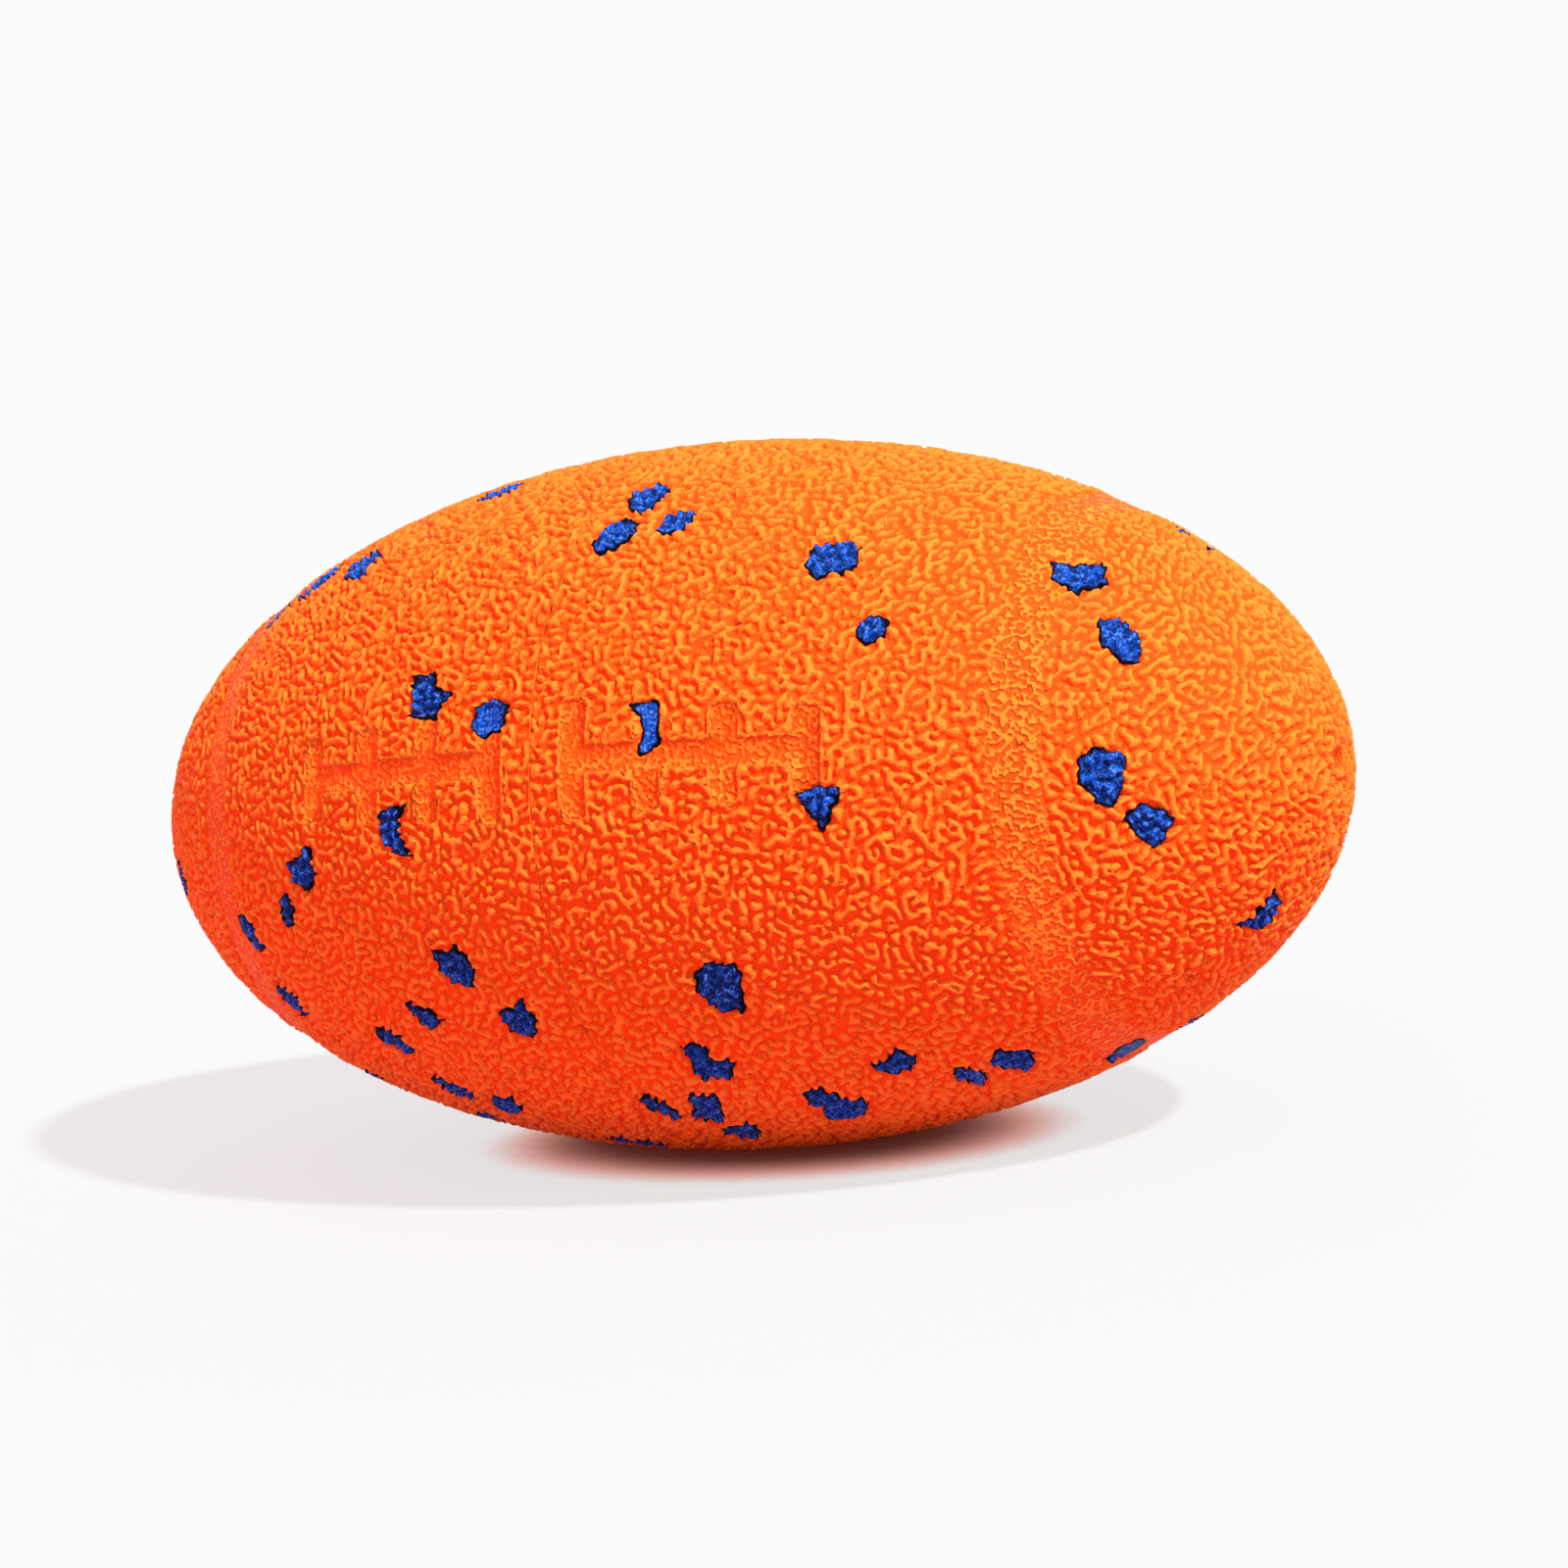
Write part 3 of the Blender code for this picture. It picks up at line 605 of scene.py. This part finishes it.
LACE_CLOCK = math.radians(16)
LACE_DEPTH = 0.62 * MILLIMETRE
LACE_EDGE = 0.2 * MILLIMETRE
LACE_RIM = 0.4 * MILLIMETRE
LACE_RIM_WORM = 0.7
CHANNEL_WIDTH = 3 * MILLIMETRE
BAR_WIDTH = 3 * MILLIMETRE
BAR_COUNT = 4
FIRST_BAR = 5.3 * MILLIMETRE
BAR_PITCH = 8.7 * MILLIMETRE
LONGEST_BAR = 13 * MILLIMETRE
BAR_STEP = 1.2 * MILLIMETRE
LACE_CORNER = 0.9 * MILLIMETRE
STRIPE_START = half_length * math.sin(math.radians(40.6))
STRIPE_WIDTH = 5 * MILLIMETRE
STRIPE_DEPTH = 0.32 * MILLIMETRE
STRIPE_EDGE = 1.2 * MILLIMETRE
STRIPE_SMOOTH = 0.9
WORM_FOOT = -0.5
WORM_TOP = 0.35
SWELL_SIZE = 2.5 * MILLIMETRE
SWELL_LOW = 0.1
SWELL_HIGH = 0.75
SWELLING = 0.5
STEADY = 0.55
POCKET_EDGE = 0.12 * MILLIMETRE
NOISE_MIDDLE = 0.5


def lace_distance(tree):
    """How far outside the laces a point is: a channel with crossbars, the same in both halves."""
    x, y, z = place_parts(tree)
    rise = z - centre_height
    across = y * math.sin(LACE_CLOCK) + rise * math.cos(LACE_CLOCK)
    facing = rise * math.sin(LACE_CLOCK) - y * math.cos(LACE_CLOCK)
    along = x.maths("ABSOLUTE")
    across = across.maths("ABSOLUTE")
    bar = ((along - FIRST_BAR) / BAR_PITCH).maths("ROUND")
    bar = bar.maths("MAXIMUM", 0.0).maths("MINIMUM", BAR_COUNT - 1.0)
    beside = (along - bar * BAR_PITCH - FIRST_BAR).maths("ABSOLUTE") - (BAR_WIDTH / 2 - LACE_CORNER)
    beyond = across - (LONGEST_BAR / 2 - LACE_CORNER) + bar * (BAR_STEP / 2)
    beside_square = beside.maths("MAXIMUM", 0.0).maths("POWER", 2.0)
    beyond_square = beyond.maths("MAXIMUM", 0.0).maths("POWER", 2.0)
    round_corner = (beside_square + beyond_square).maths("SQRT")
    bars = round_corner + beside.maths("MAXIMUM", beyond).maths("MINIMUM", 0.0) - LACE_CORNER
    span = BAR_PITCH * (BAR_COUNT - 1)
    channel_end = (along - (FIRST_BAR + span / 2)).maths("ABSOLUTE") - span / 2
    channel = (across - CHANNEL_WIDTH / 2).maths("MAXIMUM", channel_end)
    return bars.maths("MINIMUM", channel) + facing.maths("LESS_THAN", 0.0)


def stripe_mask(tree):
    """1 in the stripe round each end."""
    along = place_parts(tree)[0].maths("ABSOLUTE")
    beside = (along - (STRIPE_START + STRIPE_WIDTH / 2)).maths("ABSOLUTE")
    return 1 - fade(beside, (STRIPE_WIDTH - STRIPE_EDGE) / 2, (STRIPE_WIDTH + STRIPE_EDGE) / 2)


# The grain starts as noise. Each pass keeps one width of it and sharpens that into worms
mould_inputs = {
    "Seed": "Int",
    "Passes": "Int",
    "Stroke": "Int",
    "Gap": "Int",
    "Sharpness": "Float",
    "Bias": "Float",
    "Breaks": "Float",
    "Break size": "Float",
    "Grain height": "Float",
    "Grain top": "Float",
    "Lace depth": "Float",
    "Stripe depth": "Float",
    "Pocket depth": "Float",
    "Pockets": "Object",
    "Finish": "Material",
}
mould_tree, given = new_tree("moulded_skin", mould_inputs)
random_start = Wire.node(mould_tree, "FunctionNodeRandomValue", {"data_type": "FLOAT"},
                         {2: -1.0, 3: 1.0, "Seed": given["Seed"]}, 1)
started = kept(mould_tree, given["Geometry"], "grain", random_start)
repeat_in = mould_tree.nodes.new("GeometryNodeRepeatInput")
repeat_out = mould_tree.nodes.new("GeometryNodeRepeatOutput")
repeat_in.pair_with_output(repeat_out)
mould_tree.links.new(given["Passes"].socket, repeat_in.inputs["Iterations"])
mould_tree.links.new(started.socket, repeat_in.inputs["Geometry"])
pass_geometry = Wire(repeat_in.outputs["Geometry"])
grain = read(mould_tree, "grain")
band = blurred(mould_tree, grain, given["Stroke"]) - blurred(mould_tree, grain, given["Gap"])
banded = kept(mould_tree, pass_geometry, "band", band)
spread = Wire.node(mould_tree, "GeometryNodeAttributeStatistic", {"data_type": "FLOAT"},
                   {"Geometry": banded, "Attribute": read(mould_tree, "band")}, "Standard Deviation")
position = Wire.node(mould_tree, "GeometryNodeInputPosition")
breaks = (speckle(position, given["Break size"], 1.0) - NOISE_MIDDLE) * given["Breaks"]
pushed = read(mould_tree, "band") / spread * given["Sharpness"] + given["Bias"] + breaks
passed = kept(mould_tree, banded, "grain", pushed.maths("TANH"))
mould_tree.links.new(passed.socket, repeat_out.inputs["Geometry"])
grained = Wire(repeat_out.outputs["Geometry"])

# Height of the worms, then what the laces, the stripe and the chips' pockets take away
worm = fade(blurred(mould_tree, read(mould_tree, "grain"), 1), WORM_FOOT, WORM_TOP)
outside = lace_distance(mould_tree)
lace = 1 - fade(outside, -LACE_EDGE / 2, LACE_EDGE / 2)
border = (1 - fade(outside, LACE_RIM / 2, LACE_RIM)) * LACE_RIM_WORM
swell = fade(speckle(position, SWELL_SIZE, 1.0), SWELL_LOW, SWELL_HIGH)
worm = (worm * swell * SWELLING + worm * STEADY).maths("MAXIMUM", border)
grained = kept(mould_tree, grained, "worm", worm)
stripe = stripe_mask(mould_tree)
recess = lace.maths("MAXIMUM", stripe * STRIPE_SMOOTH)
grained = kept(mould_tree, grained, "recess", recess)
sunk = (lace * given["Lace depth"]).maths("MAXIMUM", stripe * given["Stripe depth"])
height = (read(mould_tree, "worm") - 1) * given["Grain height"] * (1 - recess) + given["Grain top"]
pressed = (height - sunk) * read(mould_tree, "skin")
grained = kept(mould_tree, grained, "press", pressed)
chips = Wire.node(mould_tree, "GeometryNodeObjectInfo", None, {"Object": given["Pockets"]}, "Geometry")
reach = Wire.node(mould_tree, "GeometryNodeProximity", {"target_element": "FACES"}, {0: chips}, "Distance")
pocket = (1 - fade(reach, 0.0, POCKET_EDGE)) * read(mould_tree, "skin")
grained = kept(mould_tree, grained, "pocket", pocket)
lift = read(mould_tree, "press") - read(mould_tree, "pocket") * given["Pocket depth"]
close_tree(mould_tree, moved_out(mould_tree, grained, lift), given["Finish"])


def stored(tree, name):
    """A stored number of the mesh in a finish."""
    return Wire.node(tree, "ShaderNodeAttribute", {"attribute_name": name}, None, "Fac")


# Orange finish: brighter on the worms as painted light and redder between them as painted shade, with a
# pebbled floor in laces and stripes that is darker in the laces as painted shade
# Painted shade for the ground between the worms, and painted light for the worm tops
ORANGE_PAINTED_VALLEY_SHADE = (0.94, 0.09, 0.006)
ORANGE_PAINTED_TOP_LIGHT = (0.97, 0.285, 0.028)
ORANGE_CLOUD = (0.95, 0.14, 0.01)
ORANGE_CLOUDING = 0.2
ORANGE_FLECK_SIZE = 0.30 * MILLIMETRE
ORANGE_CLOUD_SIZE = 9 * MILLIMETRE
PEBBLE_SIZE = 0.55 * MILLIMETRE
# Painted shade: how much darker the floor of the laces is
LACE_FLOOR_PAINTED_SHADE = 0.5
PEBBLE_RELIEF = 2.5
LACE_RELIEF_LOSS = 1.0
FLECK_RELIEF = 1.7
ORANGE_BUMP = 0.12 * MILLIMETRE
ORANGE_ROUGHNESS = 0.30
ORANGE_SPECULAR = 0.04
ROUGHNESS_SPREAD = 0.25
RUBBER_IOR = 1.45
orange_rubber, tree, place = new_finish("orange_rubber")
worm = stored(tree, "worm")
recess = stored(tree, "recess")
fine = speckle(place, ORANGE_FLECK_SIZE, 1.0, 0.6)
cloud = fade(speckle(place, ORANGE_CLOUD_SIZE), 0.3, 0.7)
pebble = fade(speckle(place, PEBBLE_SIZE, 0.0), 0.35, 0.65)
laced = fade(recess, STRIPE_SMOOTH, 1.0)
# The colour follows the worm height: painted light on the tops, painted shade between them and on the lace
# floors
top = worm * (1 - recess) + pebble * recess * (1 - laced * LACE_FLOOR_PAINTED_SHADE)
base = tint(fade(top + fine - NOISE_MIDDLE, 0.0, 1.0), ORANGE_PAINTED_VALLEY_SHADE, ORANGE_PAINTED_TOP_LIGHT)
base = tint(cloud * ORANGE_CLOUDING, base, ORANGE_CLOUD)
relief = pebble * recess * (PEBBLE_RELIEF - laced * LACE_RELIEF_LOSS) + fine * FLECK_RELIEF
sockets = {
    "Base Color": base,
    "Roughness": fine * ROUGHNESS_SPREAD + ORANGE_ROUGHNESS,
    "IOR": RUBBER_IOR,
    "Specular IOR Level": ORANGE_SPECULAR,
}
surface(tree, sockets, relief, ORANGE_BUMP)

GRAIN_SEEDS = {"front": 5, "rear": 23}
MOULD_SIZES = {
    "Passes": 2,
    "Stroke": 2,
    "Gap": 7,
    "Sharpness": 1.6,
    "Bias": -0.35,
    "Breaks": 3.2,
    "Break size": 1.1 * MILLIMETRE,
    "Grain height": 0.60 * MILLIMETRE,
    "Grain top": 0.15 * MILLIMETRE,
    "Lace depth": LACE_DEPTH,
    "Stripe depth": STRIPE_DEPTH,
    "Pocket depth": 0.5 * MILLIMETRE,
}
for half, mould in mould_halves.items():
    own = {"Seed": GRAIN_SEEDS[half], "Pockets": pockets[half], "Finish": orange_rubber}
    grown(mould, mould_tree, MOULD_SIZES | own)
    shell = put(half + "_shell", mould.data.copy())
    thin = shell.modifiers.new("thin", "DECIMATE")
    thin.ratio = SHELL_TRIANGLES / len(shell.data.polygons)
    settle(shell)
    for point in shell.data.vertices:
        point.co.z = max(point.co.z, 0.0)
    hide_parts(half + "_half_shell")
    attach(shell, "ball")

# Bond between the halves: a thin flat ring of dark orange rubber cement, brushed on the rims and
# pressed together, so that only a fine line of it shows.
BOND_SINK = 0.5 * MILLIMETRE
BOND_STEPS = 240
BOND_DARK = (0.45, 0.05, 0.005)
BOND_PALE = (0.62, 0.10, 0.01)
SMEAR_SIZE = 1.5 * MILLIMETRE
SMEAR_SPREAD = 0.2
BOND_ROUGHNESS = 0.5
bond_rows = [
    (-RIM_GAP, radius - BOND_SINK, BOND_STEPS, 0.0),
    (RIM_GAP, radius - BOND_SINK, BOND_STEPS, 0.0),
    (RIM_GAP, inner_radius, BOND_STEPS, 0.0),
    (-RIM_GAP, inner_radius, BOND_STEPS, 0.0),
]
bond_rubber, tree, place = new_finish("bond_rubber")
smear = speckle(place, SMEAR_SIZE)
sockets = {
    "Base Color": tint(smear, BOND_DARK, BOND_PALE),
    "Roughness": smear * SMEAR_SPREAD + BOND_ROUGHNESS,
}
surface(tree, sockets)
seam_bond = put("seam_cement", turned_mesh("seam_cement", 1.0, bond_rows))
coat(seam_bond, bond_rubber)
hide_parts("seam_bond")
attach(seam_bond, "ball")

# Blue chips: torn crumbs of an older blue rubber, pressed into the orange skin by the mould, so that
# they carry its grain. Their torn edges are dark where the two rubbers meet.
CHIP_DEPTH = 0.8 * MILLIMETRE
CHIP_RISE = 0.02 * MILLIMETRE
press_tree, given = new_tree("pressed_chips", {"Mould": "Object", "Rise": "Float", "Finish": "Material"})
wall = Wire.node(press_tree, "GeometryNodeObjectInfo", None, {"Object": given["Mould"]}, "Geometry")
chip_geometry = given["Geometry"]
position = Wire.node(press_tree, "GeometryNodeInputPosition")
above = {0: position, 1: outward(press_tree, MILLIMETRE)}
above = Wire.node(press_tree, "ShaderNodeVectorMath", {"operation": "ADD"}, above)
for label in ("worm", "recess", "press"):
    sockets = {
        "Target Geometry": wall,
        "Attribute": read(press_tree, label),
        "Source Position": above,
        "Ray Direction": outward(press_tree, -1.0),
    }
    found = Wire.node(press_tree, "GeometryNodeRaycast", {"data_type": "FLOAT"}, sockets, "Attribute")
    chip_geometry = kept(press_tree, chip_geometry, label, found)
lifted = moved_out(press_tree, chip_geometry, read(press_tree, "press") + given["Rise"])
close_tree(press_tree, lifted, given["Finish"])

# Blue finish: lighter on the worms as painted light and darker between them as painted shade, pale crumbs
# that show more on the worm tops as painted highlight, and a dark line of uneven width along the torn edge
# Painted shade for the ground between the worms, and painted light for the worm tops
BLUE_PAINTED_VALLEY_SHADE = (0.001, 0.018, 0.15)
BLUE_PAINTED_TOP_LIGHT = (0.002, 0.08, 0.55)
BLUE_CRUMB = (0.16, 0.42, 0.92)
BLUE_EDGE = (0.001, 0.004, 0.018)
BLUE_FLECK_SIZE = 0.35 * MILLIMETRE
BLUE_CLOUD_SIZE = 3 * MILLIMETRE
CRUMB_SHARE = 0.85
WORM_WEIGHT = 0.8
FLECK_WEIGHT = 1.2
EDGE_NARROW = 0.08 * MILLIMETRE
EDGE_SPREAD = 0.45 * MILLIMETRE
BLUE_BUMP = 0.25 * MILLIMETRE
BLUE_ROUGHNESS = 0.25
BLUE_SPECULAR = 0.06
blue_rubber, tree, place = new_finish("blue_rubber")
worm = stored(tree, "worm")
edge = stored(tree, "edge")
fine = speckle(place, BLUE_FLECK_SIZE, 3.0, 0.65)
cloud = fade(speckle(place, BLUE_CLOUD_SIZE), 0.35, 0.70)
# Crumbs show more on the worm tops, a painted highlight; deep and bright blue follow the worm height as
# painted shade and light
crumb = fade(fine, 0.50, 0.66) * (worm * WORM_WEIGHT + (1 - WORM_WEIGHT))
top = worm * WORM_WEIGHT + fine * FLECK_WEIGHT - NOISE_MIDDLE
base = tint(fade(top, 0.0, 0.9), BLUE_PAINTED_VALLEY_SHADE, BLUE_PAINTED_TOP_LIGHT)
base = tint(crumb * CRUMB_SHARE, base, BLUE_CRUMB)
rim = 1 - fade(edge / (cloud * EDGE_SPREAD + EDGE_NARROW), 0.4, 1.0)
sockets = {
    "Base Color": tint(rim, base, BLUE_EDGE),
    "Roughness": fine * ROUGHNESS_SPREAD + BLUE_ROUGHNESS,
    "IOR": RUBBER_IOR,
    "Specular IOR Level": BLUE_SPECULAR,
}
surface(tree, sockets, fine, BLUE_BUMP)


def chip_mesh(name, top, patch):
    """A closed chip: its pressed top, a smooth underside sunk in the skin and the torn side between."""
    spots, faces, _ = patch
    count = len(spots)
    under = [tuple(spot - oval_frame(spot).col[2].to_3d() * CHIP_DEPTH) for spot in spots]
    ahead = {pair for face in faces for pair in zip(face, face[1:] + face[:1])}
    side = []
    for a, b in sorted(ahead):
        if (b, a) not in ahead:
            side += [(a, a + count, b + count), (a, b + count, b)]
    below = [(c + count, b + count, a + count) for a, b, c in faces]
    return plain_mesh(name, np.concatenate([top, under]), faces + side + below)


def numbers_of(rows, name, width=1):
    """A value of each row of a mesh's data as an array."""
    numbers = np.empty(width * len(rows), np.float32)
    rows.foreach_get(name, numbers)
    return numbers


CHIP_LABELS = ("worm", "recess", "edge")
node_of = {id(patch): node for node, patch in chip_patches.items()}
for half, patches in patches_of.items():
    sheet = pockets[half]
    grown(sheet, press_tree, {"Mould": mould_halves[half], "Rise": CHIP_RISE, "Finish": blue_rubber})
    tops = numbers_of(sheet.data.vertices, "co", 3).reshape(-1, 3)
    numbers = {label: numbers_of(sheet.data.attributes[label].data, "value") for label in CHIP_LABELS}
    base = 0
    small_count = 0
    for patch in patches:
        span = slice(base, base + len(patch[0]))
        base += len(patch[0])
        node = node_of.get(id(patch))
        if node:
            name = node.replace("blue_fleck", "blue_chip")
        else:
            small_count += 1
            name = half + f"_small_chip_{small_count:02d}"
        mesh = chip_mesh(name, tops[span], patch)
        for label in CHIP_LABELS:
            store(mesh, label, np.tile(numbers[label][span], 2))
        chip = put(name, mesh)
        coat(chip, blue_rubber)
        if node:
            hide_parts(node)
        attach(chip, "ball")

for scrap in list(pockets.values()) + list(mould_halves.values()):
    bpy.data.objects.remove(scrap)

# Studio: white paper under and behind the ball, which takes its shadow, with a painted dark contact shadow
# and a painted red bounce from the ball in the paper's glow where the ball nearly touches it. A crisp key
# light comes from the upper right, with a pale screen beside it, a warm fill from the left front and a paler
# light from behind.
FLOOR_HALF = 12.0
PAPER = (0.495, 0.619, 0.607)
BOUNCE = (0.65, 0.25, 0.38)
PAPER_GLOW = 0.75
WHITE = (0.965, 0.965, 0.965)
CONTACT_REACH = 6 * MILLIMETRE
# Painted contact shadow and painted red bounce light, for the paper close to the ball
PAINTED_CONTACT_SHADOW = (0.08, 0.01, 0.005)
PAINTED_CONTACT_BOUNCE = (0.80, 0.34, 0.27)
floor_corners = [
    (-FLOOR_HALF, -FLOOR_HALF, 0.0),
    (FLOOR_HALF, -FLOOR_HALF, 0.0),
    (FLOOR_HALF, FLOOR_HALF, 0.0),
    (-FLOOR_HALF, FLOOR_HALF, 0.0),
]
floor = put("floor", plain_mesh("floor", floor_corners, [(0, 1, 2), (0, 2, 3)]))


def straight_ray(tree):
    """1 for what the camera sees directly, in a reflection or through something clear."""
    rays = [Wire.node(tree, "ShaderNodeLightPath", None, None, "Is " + kind + " Ray")
            for kind in ("Camera", "Glossy", "Transmission")]
    return rays[0].maths("MAXIMUM", rays[1]).maths("MAXIMUM", rays[2])


floor_paper = bpy.data.materials.new("floor_paper")
floor_paper.use_nodes = True
tree = floor_paper.node_tree
tree.nodes.clear()
seen = straight_ray(tree)
matt = Wire.node(tree, "ShaderNodeBsdfDiffuse", None, {"Color": tint(seen, BOUNCE, PAPER)})
# Painted shade and painted red bounce light where the ball is near, found by occlusion and mixed into the
# paper's glow
open_share = Wire.node(tree, "ShaderNodeAmbientOcclusion", None, {"Distance": CONTACT_REACH}, "AO")
painted_contact_light = tint(fade(open_share, 0.05, 0.5), PAINTED_CONTACT_SHADOW, PAINTED_CONTACT_BOUNCE)
paper_with_painted_contact = tint(fade(open_share, 0.3, 0.9), painted_contact_light, WHITE)
glow = Wire.node(tree, "ShaderNodeEmission", None, {"Color": paper_with_painted_contact, "Strength": 1.0})
paper = Wire.node(tree, "ShaderNodeMixShader", None, {0: seen * PAPER_GLOW, 1: matt, 2: glow})
Wire.node(tree, "ShaderNodeOutputMaterial", None, {"Surface": paper})
coat(floor, floor_paper)

FROM_SCREEN = Vector((0.84, -0.48, 0.26))
FILL_SIDE = (1.45, 0.22, 0.40)
BACK_SIDE = (0.95, 0.66, 0.66)
SCREEN_SIDE = (0.60, 0.66, 0.64)
world = bpy.data.worlds.new("studio")
world.use_nodes = True
bpy.context.scene.world = world
tree = world.node_tree
tree.nodes.clear()
ray = Wire.node(tree, "ShaderNodeTexCoord", output="Generated")
sockets = {0: ray, 1: FROM_SCREEN}
facing = Wire.node(tree, "ShaderNodeVectorMath", {"operation": "DOT_PRODUCT"}, sockets, "Value")
behind = Wire.node(tree, "ShaderNodeSeparateXYZ", None, {0: ray}, "Y")
sky = tint(fade(behind, -0.2, 0.5), FILL_SIDE, BACK_SIDE)
sky = tint(fade(facing, -0.3, 0.9), sky, SCREEN_SIDE)
soft = Wire.node(tree, "ShaderNodeBackground", None, {"Color": sky, "Strength": 1.0})
white = Wire.node(tree, "ShaderNodeBackground", None, {"Color": (*WHITE, 1.0), "Strength": 1.0})
around = Wire.node(tree, "ShaderNodeMixShader", None, {0: straight_ray(tree), 1: soft, 2: white})
Wire.node(tree, "ShaderNodeOutputWorld", None, {"Surface": around})

KEY_AZIMUTH = math.radians(74)
KEY_ELEVATION = math.radians(47)
KEY_ENERGY = 4.4
KEY_WIDTH = math.radians(3)


def direction(azimuth, elevation):
    """Towards a place round the ball, from the side with the laces, and up."""
    level = math.cos(elevation)
    return Vector((math.sin(azimuth) * level, -math.cos(azimuth) * level, math.sin(elevation)))


key = bpy.data.objects.new("key", bpy.data.lights.new("key", "SUN"))
key.data.energy = KEY_ENERGY
key.data.angle = KEY_WIDTH
from_key = direction(KEY_AZIMUTH, KEY_ELEVATION)
key.rotation_euler = (-from_key).to_track_quat("-Z", "Y").to_euler()
bpy.context.scene.collection.objects.link(key)

# Camera: beside the laces and a little above the floor, turned so that the ball's long axis climbs
# to the right.
CAMERA_DISTANCE = 0.400
CAMERA_AZIMUTH = math.radians(31.0)
CAMERA_ELEVATION = math.radians(7.7)
CAMERA_ROLL = math.radians(8.0)
camera_data = bpy.data.cameras.new("camera")
camera_data.lens = 79.5
camera_data.sensor_width = 36.0
camera_data.shift_x = 0.0375
camera_data.shift_y = 0.008
camera_data.clip_start = 0.01
camera = bpy.data.objects.new("camera", camera_data)
towards = direction(CAMERA_AZIMUTH, CAMERA_ELEVATION)
turn = (-towards).to_track_quat("-Z", "Y").to_matrix() @ Matrix.Rotation(CAMERA_ROLL, 3, "Z").inverted()
stand = Vector((0.0, 0.0, centre_height)) + towards * CAMERA_DISTANCE
camera.matrix_world = Matrix.Translation(stand) @ turn.to_4x4()
bpy.context.scene.collection.objects.link(camera)
bpy.context.scene.camera = camera
bpy.context.scene.view_settings.view_transform = "Standard"
